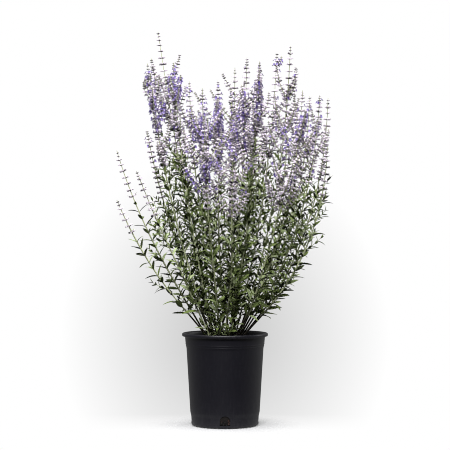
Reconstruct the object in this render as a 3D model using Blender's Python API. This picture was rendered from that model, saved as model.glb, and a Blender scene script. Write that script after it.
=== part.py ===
"""Potted russian sage: a nursery pot of soil with leafy square stems that end in violet sprays.

Metres, +Z up, with the origin at the centre of the pot's flat base and -Y towards the viewer.
"""
import itertools
import math
import random

import bmesh
import bpy
from mathutils import Vector

MM = 0.001

# Pot: a two-gallon blow-moulded nursery pot
POT_HEIGHT = 232 * MM
RIM_RADIUS = 108 * MM
LIP_DROP = 8 * MM
LIP_ROUND = 2 * MM
WALL = 1.6 * MM
FLOOR = 5 * MM
PAD_RADIUS = 58 * MM
FOOT_RING = (72 * MM, 81 * MM)
BASE_RECESS = 2.5 * MM
POT_SIDES = 32

# Outside of the wall from foot to lip: a step above the foot and a shoulder below the lip
WALL_LINE = (
    (84.6 * MM, 4 * MM),
    (85.6 * MM, 26 * MM),
    (87.4 * MM, 35 * MM),
    (96.9 * MM, 194 * MM),
    (99.2 * MM, 206 * MM),
    (100.8 * MM, 224 * MM),
)

# Drain holes low in the wall: arched openings, the first one facing the viewer
DRAIN_HOLES = 4
DRAIN_WIDTH = 26 * MM
DRAIN_LOW = 8 * MM
DRAIN_HIGH = 32 * MM
DRAIN_ARCH_STEPS = 5

# Soil, with a hole for the foot of each stem
SOIL_Z = 209 * MM
SOIL_EDGE_Z = 204 * MM
SOIL_FLAT = 62 * MM
CLEARANCE = 0.3 * MM
ROOT_DEPTH = 14 * MM

# Crown: a stem's foot lies this far out, plus a share of how far out its tip is. It first rises
# towards a point this high above the soil, which lies further out by another such share
CROWN_RADIUS = 10 * MM
CROWN_SPREAD = 0.11
FOOT_RISE = 56 * MM
FOOT_LEAN = 0.09

# Square stems: half of a side at the soil, where the spray starts and at the tip
STEM_FOOT = 1.75 * MM
STEM_NECK = 1.2 * MM
STEM_TIP = 0.5 * MM
STEM_TWIST = math.radians(110)
STEM_SAMPLES = 64
SWAY = 6 * MM

# Leaves: crossed pairs; every third true pair is built here, at its true size. A stem that leans
# far out is bare for longer: its first pair moves up by a share of how far out its tip is
FIRST_LEAF = 32 * MM
BARE_SHARE = 0.22
LAST_LEAF = 10 * MM
LEAF_STEP = 20 * MM
LEAF_EVERY = 3
LEAF_LONG = 43 * MM
LEAF_SHORT = 30 * MM
LEAF_SLENDER = 0.145
LEAF_KEEL = 1.0 * MM
LEAF_BAND = 3.6 * MM
LEAF_LIFT = (math.radians(42), math.radians(62))
LEAF_DROOP = (math.radians(5), math.radians(30))

# A leaf's outline: share of its length, then the share of its half width on either edge; the two
# edges have their tooth by turns, and it is mirrored from one leaf to the next
LEAF_OUTLINE = ((0.0, 0.4, 0.4), (0.34, 1.0, 0.66), (0.60, 0.50, 0.88), (1.0, 0.0, 0.0))

# Flowers: whorls of four, a little larger than life; every second true whorl of a main spike is
# built here, and every fourth of a side spike
FIRST_WHORL = 12 * MM
WHORL_STEP = 17 * MM
WHORL_EVERY = 2
WHORL_BAND = 6.5 * MM
TIP_BARE = 8 * MM
FLORET = 10.5 * MM
BUD_SHARE = 0.45
FLORET_RISE = 0.28
FLORET_FOOT = 1.2 * MM
LIP_HALF = 4.4 * MM
OPEN_BELOW = 0.3

# Side spikes: their greatest length, also as a share of the spray's, and the share of it that one
# near the tip has; how far they lean out and rise for each unit of it, and how much less those on
# the plant's outside lean; the share of the way at which they bend, and the room they need
SPIKE_FOOT = 0.95 * MM
SPIKE_LONG = 95 * MM
SPIKE_SHARE = 0.42
SPIKE_HIGH = 0.72
SPIKE_LEAN = (0.36, 0.56)
SPIKE_RISE = 0.88
SPIKE_DRAWN_IN = 0.5
SPIKE_BEND = 0.42
SPIKE_TWIST = math.radians(30)
SPIKE_SAMPLES = 16
SPIKE_BAND = 5.5 * MM
SPIKE_ROOM = 7 * MM
SPIKE_JOINED = 14 * MM

# Room kept between pieces while they grow
SPHERE_STEP = 4 * MM
ROOM_CELL = 14 * MM
ROOM_MARGIN = 0.7 * MM

# Every stem by hand from the photograph, all in millimetres but the two shares:
# name, tip x, tip y, tip z, shoulder out as a share of the tip, shoulder up as a share of the
# height, length in flower, side spikes
STEMS = (
    ("01", -171, 60, 996, 0.66, 0.50, 300, 3),
    ("02", -193, -40, 905, 0.80, 0.50, 270, 2),
    ("03", -130, -10, 911, 0.85, 0.50, 230, 2),
    ("04", -93, 130, 876, 0.85, 0.45, 240, 2),
    ("05", -56, -90, 839, 0.85, 0.45, 240, 2),
    ("06", -18, 60, 872, 0.90, 0.50, 250, 2),
    ("07", 26, 150, 914, 0.90, 0.50, 270, 2),
    ("08", 55, -30, 921, 0.80, 0.50, 280, 2),
    ("09", 85, -100, 904, 0.85, 0.50, 290, 2),
    ("10", 134, 90, 945, 0.85, 0.45, 280, 2),
    ("11", 165, 10, 954, 0.90, 0.40, 280, 2),
    ("12", 190, -110, 832, 0.90, 0.40, 240, 2),
    ("13", 220, 120, 837, 0.92, 0.35, 240, 2),
    ("14", 236, -40, 826, 0.92, 0.35, 230, 2),
    ("15", 262, 40, 826, 0.95, 0.30, 220, 2),
    ("16", 252, -95, 694, 0.94, 0.32, 130, 1),
    ("17", -268, -60, 565, 0.66, 0.38, 100, 0),
    ("18", -275, 40, 692, 0.74, 0.50, 135, 1),
    ("19", -215, -130, 634, 0.66, 0.55, 130, 1),
    ("20", -202, 110, 746, 0.75, 0.50, 190, 2),
    ("21", -50, -185, 758, 0.85, 0.40, 230, 2),
    ("22", 19, -205, 700, 0.90, 0.40, 190, 2),
    ("23", 150, -185, 715, 0.90, 0.38, 190, 2),
    ("24", 62, -160, 652, 0.85, 0.45, 0, 0),
    ("25", -110, 205, 770, 0.85, 0.40, 210, 1),
    ("26", 80, 215, 800, 0.90, 0.40, 220, 1),
    ("27", 190, 190, 715, 0.90, 0.38, 180, 1),
)


class Line:
    """A curved centre line with a frame that turns slowly about it."""

    def __init__(self, points, across, turn, twist):
        self.points = points
        self.across = across
        self.turn = turn
        self.twist = twist
        self.along = [0.0]
        for a, b in zip(points, points[1:]):
            self.along.append(self.along[-1] + (b - a).length)
        self.length = self.along[-1]

    def at(self, s):
        """Centre and direction at a length s; before its start a stem runs straight down."""
        if s <= 0:
            along = (self.points[1] - self.points[0]).normalized()
            return self.points[0] + along * s, along
        last = len(self.points) - 1
        i = next((n for n in range(1, last) if self.along[n] >= s), last)
        share = (s - self.along[i - 1]) / (self.along[i] - self.along[i - 1])
        ahead = self.points[min(i + 1, last)]
        behind = self.points[max(i - 2, 0)]
        return self.points[i - 1].lerp(self.points[i], share), (ahead - behind).normalized()

    def axes(self, s):
        """Two directions across the line, turned by its slow twist."""
        along = self.at(s)[1]
        u = (self.across - along * self.across.dot(along)).normalized()
        w = along.cross(u)
        angle = self.turn + self.twist * max(s, 0) / self.length
        return u * math.cos(angle) + w * math.sin(angle), w * math.cos(angle) - u * math.sin(angle)

    def side(self, s, k):
        """The direction that side k of the square looks in."""
        u, w = self.axes(s)
        return (u, w, -u, -w)[k % 4]

    def ring(self, s, extra=0.0):
        """Four corners round the line, anticlockwise as seen from its tip."""
        centre = self.at(s)[0]
        u, w = self.axes(s)
        half = self.half(s) + extra
        return [centre + u * half * a + w * half * b for a, b in ((1, 1), (-1, 1), (-1, -1), (1, -1))]

    def spheres(self, start, end):
        """Points with radii that cover the line between two lengths."""
        steps = max(2, math.ceil((end - start) / SPHERE_STEP))
        stations = [start + (end - start) * i / steps for i in range(steps + 1)]
        return [(self.at(s)[0], self.half(s) * 1.3, s) for s in stations]


class Stem(Line):
    """A main stem, from its foot in the crown to the tip of its spray."""

    def __init__(self, row):
        self.name, x, y, z, out, up, flower, self.side_spikes = row
        self.number = int(self.name)
        tip = Vector((x, y, z)) * MM
        reach = Vector((tip.x, tip.y, 0))
        self.outward = outward = reach.normalized()
        foot = outward * (CROWN_RADIUS + CROWN_SPREAD * reach.length) + Vector((0, 0, SOIL_Z))
        low = foot + reach * FOOT_LEAN + Vector((0, 0, FOOT_RISE))
        shoulder = reach * out + Vector((0, 0, SOIL_Z + (tip.z - SOIL_Z) * up))
        across = Vector((-outward.y, outward.x, 0))
        draw = random.Random(self.number)
        turn = draw.uniform(0, math.pi / 2)
        sway = draw.uniform(-SWAY, SWAY)
        phase = draw.uniform(0, 2)
        points = []
        for i in range(STEM_SAMPLES + 1):
            t = i / STEM_SAMPLES
            point = bezier(foot, low, shoulder, tip, t)
            wave = math.sin(math.pi * t) ** 2 * math.sin(math.pi * (2.6 * t + phase))
            points.append(point + across * sway * wave)
        super().__init__(points, across, turn, STEM_TWIST)
        self.neck = self.length - flower * MM
        self.first_leaf = FIRST_LEAF + BARE_SHARE * reach.length

    def half(self, s):
        """Half of the stem's side at a length s."""
        if s <= self.neck:
            return STEM_FOOT + (STEM_NECK - STEM_FOOT) * max(s, 0) / self.neck
        share = (s - self.neck) / max(self.length - self.neck, MM)
        return STEM_NECK + (STEM_TIP - STEM_NECK) * share

    def leaf_nodes(self):
        """The number of each leaf node and its length from the soil."""
        last = self.neck - LAST_LEAF
        count = int((last - self.first_leaf) / LEAF_STEP) + 1
        return [(i, self.first_leaf + LEAF_STEP * i) for i in range(count)]

    def whorl_nodes(self):
        """The number of each whorl of the main spike and its length from the soil."""
        count = int((self.length - TIP_BARE - self.neck - FIRST_WHORL) / WHORL_STEP) + 1
        return [(i, self.neck + FIRST_WHORL + WHORL_STEP * i) for i in range(count)]

    def side_spike(self, node, s, k):
        """The side spike that leaves the square's side k at a whorl, and curves up beside the stem."""
        draw = random.Random(self.number * 1000 + node * 10 + k)
        flower = self.length - self.neck
        left = (self.length - s) / flower
        reach = min(SPIKE_LONG, flower * SPIKE_SHARE) * (SPIKE_HIGH + (1 - SPIKE_HIGH) * left)
        reach *= draw.uniform(0.85, 1.1)
        centre, along = self.at(s)
        out = self.side(s, k)
        start = centre + out * self.half(s)
        lean = draw.uniform(*SPIKE_LEAN) * (1 - SPIKE_DRAWN_IN * max(0, out.dot(self.outward)))
        bend = start + (out * 0.62 + along * 0.38).normalized() * reach * SPIKE_BEND
        tip = start + out * reach * lean + along * reach * SPIKE_RISE
        shares = [i / SPIKE_SAMPLES for i in range(SPIKE_SAMPLES + 1)]
        points = [start.lerp(bend, t).lerp(bend.lerp(tip, t), t) for t in shares]
        return Spike(points, out.cross(along))


class Spike(Line):
    """A side spike of a spray."""

    def __init__(self, points, across):
        super().__init__(points, across, 0.0, SPIKE_TWIST)

    def half(self, s):
        return SPIKE_FOOT + (STEM_TIP - SPIKE_FOOT) * max(s, 0) / self.length

    def whorl_nodes(self):
        count = int((self.length - TIP_BARE - FIRST_WHORL) / WHORL_STEP) + 1
        return [(i, FIRST_WHORL + WHORL_STEP * i) for i in range(count)]


def bezier(a, b, c, d, t):
    """The point at a share t of a cubic curve."""
    return a * (1 - t) ** 3 + b * 3 * t * (1 - t) ** 2 + c * 3 * t * t * (1 - t) + d * t ** 3


class Room:
    """Remembers what has grown as spheres, so that nothing new crosses another piece."""

    def __init__(self):
        self.cells = {}

    def cell(self, point):
        return tuple(math.floor(c / ROOM_CELL) for c in point)

    def add(self, owner, spheres):
        for point, radius, station in spheres:
            self.cells.setdefault(self.cell(point), []).append((point, radius, owner, station))

    def free(self, owner, spheres, near):
        """True where all spheres are clear; those of the owner closer than near along it don't count."""
        for point, radius, station in spheres:
            x, y, z = self.cell(point)
            for i, j, k in itertools.product((-1, 0, 1), repeat=3):
                for other, size, name, where in self.cells.get((x + i, y + j, z + k), ()):
                    if name == owner and abs(where - station) < near:
                        continue
                    if (other - point).length < radius + size + ROOM_MARGIN:
                        return False
        return True


def chain(points, radii, station):
    """Spheres along a few points, close enough to leave no way between them."""
    spheres = []
    for a, b, r, q in zip(points, points[1:], radii, radii[1:]):
        steps = max(1, math.ceil((b - a).length / SPHERE_STEP))
        spheres += [(a.lerp(b, i / steps), r + (q - r) * i / steps, station) for i in range(steps)]
    return spheres + [(points[-1], radii[-1], station)]


def new_tube(bm, lower, upper):
    """A closed tube between two rings of four corners; returns its upper face."""
    made = bmesh.ops.create_cube(bm, size=2)["verts"]
    top = next(face for vert in made for face in vert.link_faces if face.normal.z > 0.5)
    corner = {(1, 1): 0, (-1, 1): 1, (-1, -1): 2, (1, -1): 3}
    for vert in made:
        ring = upper if vert.co.z > 0 else lower
        vert.co = ring[corner[(round(vert.co.x), round(vert.co.y))]]
    return top


def extend(bm, face, ring):
    """Extrudes a face to new corners, paired with its own so that the sides don't twist."""
    end = bmesh.ops.extrude_discrete_faces(bm, faces=[face])["faces"][0]
    starts = [vert.co.copy() for vert in end.verts]
    turns = [ring[k:] + ring[:k] for k in range(len(ring))]
    best = min(turns, key=lambda corners: sum((a - b).length for a, b in zip(starts, corners)))
    for vert, corner in zip(end.verts, best):
        vert.co = corner
    return end


def draw_to_point(bm, face, tip):
    """Raises a face to a pyramid with its point at the tip."""
    bmesh.ops.poke(bm, faces=[face])["verts"][0].co = tip


def band(bm, face, line, s, height):
    """Grows the line past a node: returns the end face and the node's four side faces."""
    face = extend(bm, face, line.ring(s - height / 2))
    end = extend(bm, face, line.ring(s + height / 2))
    middle = end.calc_center_median()
    around = [side for edge in end.edges for side in edge.link_faces if side is not end]
    sides = [max(around, key=lambda side: (side.calc_center_median() - middle).dot(line.side(s, k)))
             for k in range(4)]
    return end, sides


class Leaf:
    """One toothed blade, flat above with a keel below."""

    def __init__(self, stem, node, s, k, lift=0.0, shrink=1.0):
        draw = random.Random(stem.number * 1000 + node * 10 + k + 500)
        share = (s - stem.first_leaf) / (stem.neck - stem.first_leaf)
        length = (LEAF_LONG + (LEAF_SHORT - LEAF_LONG) * share) * draw.uniform(0.88, 1.08) * shrink
        angle = draw.uniform(*LEAF_LIFT) + lift
        droop = draw.uniform(*LEAF_DROOP)
        centre, self.along = stem.at(s)
        out = stem.side(s, k)
        self.across = self.along.cross(out)
        self.middle = [centre + out * stem.half(s)]
        self.sections = []
        self.half = length * LEAF_SLENDER
        for (f, *_), (g, *widths) in zip(LEAF_OUTLINE, LEAF_OUTLINE[1:]):
            bend = angle + droop * (f + g)
            ahead = self.along * math.cos(bend) + out * math.sin(bend)
            upward = self.along * math.sin(bend) - out * math.cos(bend)
            point = self.middle[-1] + ahead * length * (g - f)
            left, right = widths if (node + k) % 4 < 2 else widths[::-1]
            self.sections.append((point + self.across * self.half * left,
                                  point - self.across * self.half * right,
                                  point - upward * LEAF_KEEL))
            self.middle.append(point)

    def spheres(self, station):
        radii = [max(left, right, 0.25) * self.half for _, left, right in LEAF_OUTLINE]
        return chain(self.middle, radii, station)

    def grow(self, bm, face):
        """Draws the blade out of a side face of the stem."""
        base = face.calc_center_median()
        left, right, keel = self.sections[0]
        end = bmesh.ops.extrude_discrete_faces(bm, faces=[face])["faces"][0]
        lower = [vert for vert in end.verts if (vert.co - base).dot(self.along) < 0]
        upper = [vert for vert in end.verts if vert not in lower]
        for vert in upper:
            vert.co = left if (vert.co - base).dot(self.across) > 0 else right
        bmesh.ops.pointmerge(bm, verts=lower, merge_co=keel)
        face = next(end for end in upper[0].link_faces if len(end.verts) == 3 and upper[1] in end.verts)
        for left, right, keel in self.sections[1:-1]:
            ahead = (left + right) / 2 - base
            ring = [left, right, keel]
            if (right - left).cross(keel - left).dot(ahead) < 0:
                ring.reverse()
            face = extend(bm, face, ring)
        draw_to_point(bm, face, self.middle[-1])


class Floret:
    """One flower of a whorl: a pointed calyx, or one with an open lip at its end."""

    def __init__(self, line, s, k, share, is_open, size=1.0):
        centre, along = line.at(s)
        out = line.side(s, k)
        length = FLORET * (BUD_SHARE + (1 - BUD_SHARE) * math.sqrt(share)) * size
        self.base = centre + out * line.half(s)
        self.tip = self.base + (out + along * FLORET_RISE).normalized() * length
        self.lip = along.cross(out) * LIP_HALF * size
        self.is_open = is_open

    def spheres(self, station):
        end = LIP_HALF if self.is_open else FLORET_FOOT
        return chain([self.base, self.tip], [FLORET_FOOT, end], station)

    def grow(self, bm, face):
        if not self.is_open:
            draw_to_point(bm, face, self.tip)
            return
        base = face.calc_center_median()
        end = bmesh.ops.extrude_discrete_faces(bm, faces=[face])["faces"][0]
        left = [vert for vert in end.verts if (vert.co - base).dot(self.lip) > 0]
        right = [vert for vert in end.verts if vert not in left]
        bmesh.ops.pointmerge(bm, verts=left, merge_co=self.tip + self.lip)
        bmesh.ops.pointmerge(bm, verts=right, merge_co=self.tip - self.lip)


def plan_leaves(stem, room):
    """The leaves that find room, by node and side, bent clear of what grows beside them."""
    leaves = {}
    for node, s in stem.leaf_nodes():
        if node % LEAF_EVERY:
            continue
        for k in (node % 2, node % 2 + 2):
            tries = (Leaf(stem, node, s, k, math.radians(lift), shrink) for shrink in (1.0, 0.8)
                     for lift in (0, -12, 12, -24, 24))
            clear = (leaf for leaf in tries if room.free(stem.name, leaf.spheres(s), LEAF_STEP))
            leaf = next(clear, None)
            if leaf:
                leaves[(node, k)] = leaf
                room.add(stem.name, leaf.spheres(s))
    return leaves


def plan_spikes(stem, room):
    """The side spikes of a spray that find room, by whorl and side."""
    spikes = {}
    nodes = [node for node in stem.whorl_nodes() if node[0] % WHORL_EVERY == 0]
    for node, s in nodes[:stem.side_spikes + 1]:
        for k in (node // WHORL_EVERY % 2, node // WHORL_EVERY % 2 + 2):
            if len(spikes) == stem.side_spikes:
                return spikes
            spike = stem.side_spike(node, s, k)
            free_part = spike.spheres(SPIKE_JOINED, spike.length)
            if room.free(stem.name, [(point, SPIKE_ROOM, at) for point, _, at in free_part], 0.0):
                spikes[(node, k)] = spike
                room.add(stem.name + "-" + str(node), spike.spheres(2 * MM, spike.length))
                break
    return spikes


def plan_florets(name, line, first, room, taken=()):
    """The florets of one spike, by whorl and side: open ones by turns, and buds near the tip."""
    florets = {}
    end = line.length
    for node, s in line.whorl_nodes():
        if node % WHORL_EVERY:
            continue
        share = (end - s) / (end - first)
        for k in range(4):
            if (node, k) in taken:
                continue
            is_open = share > OPEN_BELOW and (node // WHORL_EVERY + k) % 2 == 0
            tries = (Floret(line, s, k, share, is_open, size) for size in (1.0, 0.75, 0.5))
            floret = next((f for f in tries if room.free(name, f.spheres(s), WHORL_STEP)), None)
            if floret:
                florets[(node, k)] = floret
                room.add(name, floret.spheres(s))
    return florets


def new_node(name, bm, material):
    """Makes a mesh object of its own from a bmesh."""
    mesh = bpy.data.meshes.new(name)
    bm.to_mesh(mesh)
    bm.free()
    mesh.materials.append(material)
    node = bpy.data.objects.new(name, mesh)
    bpy.context.scene.collection.objects.link(node)
    return node


def grow_leafy_stem(stem, leaves, material):
    """The square stem from its foot in the soil to its neck, with its pairs of leaves."""
    bm = bmesh.new()
    face = new_tube(bm, stem.ring(-ROOT_DEPTH), stem.ring(0))
    face = extend(bm, face, stem.ring(FOOT_RISE / 2))
    for node, s in stem.leaf_nodes():
        if node % LEAF_EVERY:
            continue
        face, sides = band(bm, face, stem, s, LEAF_BAND)
        for k, side in enumerate(sides):
            if (node, k) in leaves:
                leaves[(node, k)].grow(bm, side)
    if stem.neck < stem.length:
        extend(bm, face, stem.ring(stem.neck))
    else:
        draw_to_point(bm, face, stem.points[-1])
    return new_node("leafy_stem_" + stem.name, bm, material)


def grow_spike(bm, face, line, florets, spikes=None):
    """Carries a face on to the tip of a spike, with its whorls and side spikes."""
    spikes = spikes or {}
    for node, s in line.whorl_nodes():
        if node % WHORL_EVERY:
            continue
        height = WHORL_BAND if isinstance(line, Stem) else SPIKE_BAND
        face, sides = band(bm, face, line, s, height)
        for k, side in enumerate(sides):
            if (node, k) in spikes:
                spike, own_florets = spikes[(node, k)]
                grow_spike(bm, side, spike, own_florets)
            elif (node, k) in florets:
                florets[(node, k)].grow(bm, side)
    draw_to_point(bm, face, line.points[-1])


def grow_spray(stem, florets, spikes, material):
    """The flower spray that stands on the neck of a leafy stem."""
    bm = bmesh.new()
    foot = stem.neck + CLEARANCE
    face = new_tube(bm, stem.ring(foot), stem.ring(foot + FIRST_WHORL / 2))
    grow_spike(bm, face, stem, florets, spikes)
    return new_node("spray_" + stem.name, bm, material)


def turned(profile):
    """A solid turned about Z from an outline that starts and ends on the axis."""
    bm = bmesh.new()
    verts = [bm.verts.new((r, 0, z)) for r, z in profile]
    edges = [bm.edges.new(pair) for pair in zip(verts, verts[1:])]
    bmesh.ops.spin(bm, geom=verts + edges, cent=(0, 0, 0), axis=(0, 0, 1), angle=math.tau,
                   steps=POT_SIDES, use_merge=True)
    bmesh.ops.remove_doubles(bm, verts=bm.verts[:], dist=0.01 * MM)
    bmesh.ops.recalc_face_normals(bm, faces=bm.faces[:])
    return bm


def outer_radius(z):
    """Radius of the outside of the wall at a height."""
    for (r, low), (q, high) in zip(WALL_LINE, WALL_LINE[1:]):
        if z <= high:
            return r + (q - r) * (z - low) / (high - low)
    return WALL_LINE[-1][0]


def cut(node, cutter):
    """Subtracts a hidden cutter from a node."""
    cutter.hide_render = True
    cutter.display_type = "WIRE"
    modifier = node.modifiers.new("Holes", "BOOLEAN")
    modifier.operation = "DIFFERENCE"
    modifier.object = cutter


def drain_outline():
    """The outline of a drain hole across and up: square below, arched above."""
    half = DRAIN_WIDTH / 2
    spring = DRAIN_HIGH - half
    arch = [math.pi * i / DRAIN_ARCH_STEPS for i in range(DRAIN_ARCH_STEPS + 1)]
    return [(-half, DRAIN_LOW), (half, DRAIN_LOW)] + [
        (half * math.cos(a), spring + half * math.sin(a)) for a in arch]


def add_prism(bm, lower, upper):
    """A closed prism between two like outlines."""
    a = [bm.verts.new(point) for point in lower]
    b = [bm.verts.new(point) for point in upper]
    bm.faces.new(a[::-1])
    bm.faces.new(b)
    for i in range(len(a)):
        j = (i + 1) % len(a)
        bm.faces.new((a[i], a[j], b[j], b[i]))


def make_pot(material):
    """The thin-walled pot: flat centre pad, recessed ring and foot, stepped wall and rolled lip."""
    top = POT_HEIGHT
    neck = WALL_LINE[-1][0]
    profile = [(0, 0), (PAD_RADIUS, 0), (PAD_RADIUS + BASE_RECESS, BASE_RECESS),
               (FOOT_RING[0] - BASE_RECESS, BASE_RECESS), (FOOT_RING[0], 0), (FOOT_RING[1], 0)]
    profile += WALL_LINE
    profile += [(RIM_RADIUS, top - LIP_DROP), (RIM_RADIUS, top - LIP_ROUND),
                (RIM_RADIUS - LIP_ROUND, top), (neck + LIP_ROUND, top), (neck - WALL, top - 2 * LIP_ROUND)]
    profile += [(r - WALL, z) for r, z in WALL_LINE[-2:-4:-1]]
    profile += [(outer_radius(FLOOR) - WALL, FLOOR), (0, FLOOR)]
    pot = new_node("pot", turned(profile), material)
    bm = bmesh.new()
    for i in range(DRAIN_HOLES):
        angle = math.tau * i / DRAIN_HOLES - math.pi / 2
        out = Vector((math.cos(angle), math.sin(angle), 0))
        across = Vector((-out.y, out.x, 0))
        near, far = FOOT_RING[0], RIM_RADIUS
        add_prism(bm, *[[out * r + across * x + Vector((0, 0, z)) for x, z in drain_outline()]
                        for r in (near, far)])
    cut(pot, new_node("drain_cutter", bm, material))
    return pot


def make_soil(stems, material):
    """The root ball: it fills the pot and has a plain square hole for each stem."""
    profile = [(0, FLOOR + CLEARANCE)]
    levels = [FLOOR + CLEARANCE, WALL_LINE[-3][1], SOIL_EDGE_Z]
    profile += [(outer_radius(z) - WALL - CLEARANCE, z) for z in levels]
    profile += [(SOIL_FLAT, SOIL_Z), (0, SOIL_Z)]
    soil = new_node("soil", turned(profile), material)
    bm = bmesh.new()
    for stem in stems:
        lower = stem.ring(-ROOT_DEPTH - CLEARANCE, CLEARANCE)
        rise = stem.at(0)[1] * (ROOT_DEPTH + FOOT_RISE / 2)
        add_prism(bm, lower, [corner + rise for corner in lower])
    cut(soil, new_node("stem_cutter", bm, material))
    return soil


def new_material(name, colour, roughness):
    material = bpy.data.materials.new(name)
    material.use_nodes = True
    shader = material.node_tree.nodes["Principled BSDF"]
    shader.inputs["Base Color"].default_value = (*colour, 1)
    shader.inputs["Roughness"].default_value = roughness
    material.diffuse_color = (*colour, 1)
    return material


def add_rim_to(room):
    """Lets the leaves see the pot's lip."""
    for i in range(2 * POT_SIDES):
        angle = math.tau * i / (2 * POT_SIDES)
        centre = Vector((math.cos(angle), math.sin(angle), 0)) * (RIM_RADIUS - LIP_DROP / 2)
        room.add("pot", [(centre + Vector((0, 0, POT_HEIGHT - LIP_DROP / 2)), LIP_DROP, 0.0)])


def main():
    for old in bpy.data.objects[:]:
        bpy.data.objects.remove(old)
    plastic = new_material("black_plastic", (0.012, 0.012, 0.015), 0.45)
    earth = new_material("bark_soil", (0.035, 0.022, 0.014), 0.95)
    green = new_material("sage_leaf", (0.105, 0.135, 0.065), 0.7)
    violet = new_material("sage_flower", (0.22, 0.19, 0.42), 0.75)
    stems = [Stem(row) for row in STEMS]
    room = Room()
    add_rim_to(room)
    for stem in stems:
        room.add(stem.name, stem.spheres(0, stem.length))
    spikes = {stem: plan_spikes(stem, room) for stem in stems}
    florets = {}
    for stem in stems:
        if stem.neck == stem.length:
            continue
        florets[stem] = plan_florets(stem.name, stem, stem.neck, room, spikes[stem])
        for place, spike in spikes[stem].items():
            name = stem.name + "-" + str(place[0])
            spikes[stem][place] = (spike, plan_florets(name, spike, 0, room))
    make_pot(plastic)
    make_soil(stems, earth)
    for stem in stems:
        grow_leafy_stem(stem, plan_leaves(stem, room), green)
        if stem in florets:
            grow_spray(stem, florets[stem], spikes[stem], violet)


if __name__ == "__main__":
    main()
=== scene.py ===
# %% [markdown]
# # A potted russian sage
# This file dresses a finished model of a russian sage in its nursery pot. The model has every stem
# at its real size and place, with a few leaves and flowers on each, as plain solids. Here each of
# those solids gets the surface, the colours and all the leaves and flowers of the real plant.
# Everything is in metres, with Z up and the viewer in front, at negative Y.

# %% Load the model
import math
import random

import bmesh
import bpy
from mathutils import Matrix, Quaternion, Vector, noise


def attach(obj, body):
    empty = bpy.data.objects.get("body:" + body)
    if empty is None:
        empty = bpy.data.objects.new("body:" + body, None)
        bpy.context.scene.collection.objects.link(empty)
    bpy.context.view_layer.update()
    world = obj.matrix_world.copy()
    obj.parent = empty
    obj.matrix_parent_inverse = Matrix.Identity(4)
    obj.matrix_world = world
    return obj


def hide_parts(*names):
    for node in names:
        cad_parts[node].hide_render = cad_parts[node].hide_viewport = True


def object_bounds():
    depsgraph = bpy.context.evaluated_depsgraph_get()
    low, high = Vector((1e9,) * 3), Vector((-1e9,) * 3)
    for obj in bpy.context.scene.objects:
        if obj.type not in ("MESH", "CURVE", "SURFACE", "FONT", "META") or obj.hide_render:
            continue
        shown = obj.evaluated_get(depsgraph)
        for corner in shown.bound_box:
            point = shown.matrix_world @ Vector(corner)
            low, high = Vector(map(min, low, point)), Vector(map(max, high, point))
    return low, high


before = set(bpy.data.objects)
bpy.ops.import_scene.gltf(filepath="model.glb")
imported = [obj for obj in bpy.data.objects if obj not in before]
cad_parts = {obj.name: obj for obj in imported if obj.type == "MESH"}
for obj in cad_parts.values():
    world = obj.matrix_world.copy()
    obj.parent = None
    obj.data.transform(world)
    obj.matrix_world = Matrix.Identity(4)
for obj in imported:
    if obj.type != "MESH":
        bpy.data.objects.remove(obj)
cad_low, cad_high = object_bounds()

MM = 0.001
print("nodes:", len(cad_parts), "size:", [round(c, 3) for c in cad_high - cad_low])

# %% [markdown]
# ## Camera
# The plant was photographed from about four metres with a long lens, held level at half its height.
# A long lens keeps the pot's sides nearly straight. The rim still shows as a thin ellipse, because
# the eye is higher than the pot. A narrow pixel filter keeps the thin stalks crisp.

# %% Camera
EYE = Vector((0, -3.9, 0.503))
LENS = 124
PIXEL_FILTER = 1.0


def link(name, data):
    """Puts a new object with this data in the scene, at the origin."""
    made = bpy.data.objects.new(name, data)
    bpy.context.scene.collection.objects.link(made)
    return made


camera = link("camera", bpy.data.cameras.new("camera"))
camera.location = EYE
camera.rotation_euler = (math.pi / 2, 0, 0)
camera.data.lens = LENS
bpy.context.scene.camera = camera
bpy.context.scene.view_settings.view_transform = "Standard"
bpy.context.scene.cycles.filter_width = PIXEL_FILTER
print("the view is", round(-EYE.y * camera.data.sensor_width / LENS, 2), "m wide at the pot")

# %% [markdown]
# ## Nodes and colours
# Materials and Geometry Nodes are both trees of nodes. One small function that adds a node, sets it
# and links it keeps the trees below short enough to read. Colours are written as the hex values
# that an image editor shows, and turned to the linear light that a renderer works with.

# %% Nodes and colours
def add_node(tree, kind, inputs=(), **settings):
    """Adds a node. Each input takes a value, or the output that it is linked to."""
    node = tree.nodes.new(kind)
    for name, value in settings.items():
        setattr(node, name, value)
    for key, value in dict(inputs).items():
        if isinstance(value, bpy.types.NodeSocket):
            tree.links.new(value, node.inputs[key])
        else:
            node.inputs[key].default_value = value
    return node


def linear(hex_colour):
    """A colour such as "#6f7a55" as linear red, green, blue and alpha."""
    parts = [int(hex_colour[i:i + 2], 16) / 255 for i in (1, 3, 5)]
    return (*[p / 12.92 if p < 0.04045 else ((p + 0.055) / 1.055) ** 2.4 for p in parts], 1)


def socket(shader, key):
    """The input of a shader that a keyword such as base_color stands for."""
    return shader.inputs[key.replace("_", " ").title().replace("Ior", "IOR")]


def new_material(name, roughness, **values):
    """A material with one Principled shader, with the values that are the same all over it."""
    material = bpy.data.materials.new(name)
    material.use_nodes = True
    shader = material.node_tree.nodes["Principled BSDF"]
    for key, value in dict(values, roughness=roughness).items():
        socket(shader, key).default_value = value
    return material, material.node_tree, shader


def connect(tree, shader, **outputs):
    """Links outputs to the inputs of a shader, for what differs from place to place."""
    for key, output in outputs.items():
        tree.links.new(output, socket(shader, key))


def fill_stops(ramp, *colours):
    """Spreads two or more colours evenly over a colour ramp, and returns what it shows."""
    stops = ramp.color_ramp.elements
    for i in range(1, len(colours) - 1):
        stops.new(i / (len(colours) - 1))
    for stop, colour in zip(stops, colours):
        stop.color = linear(colour)
    return ramp.outputs["Color"]


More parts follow.
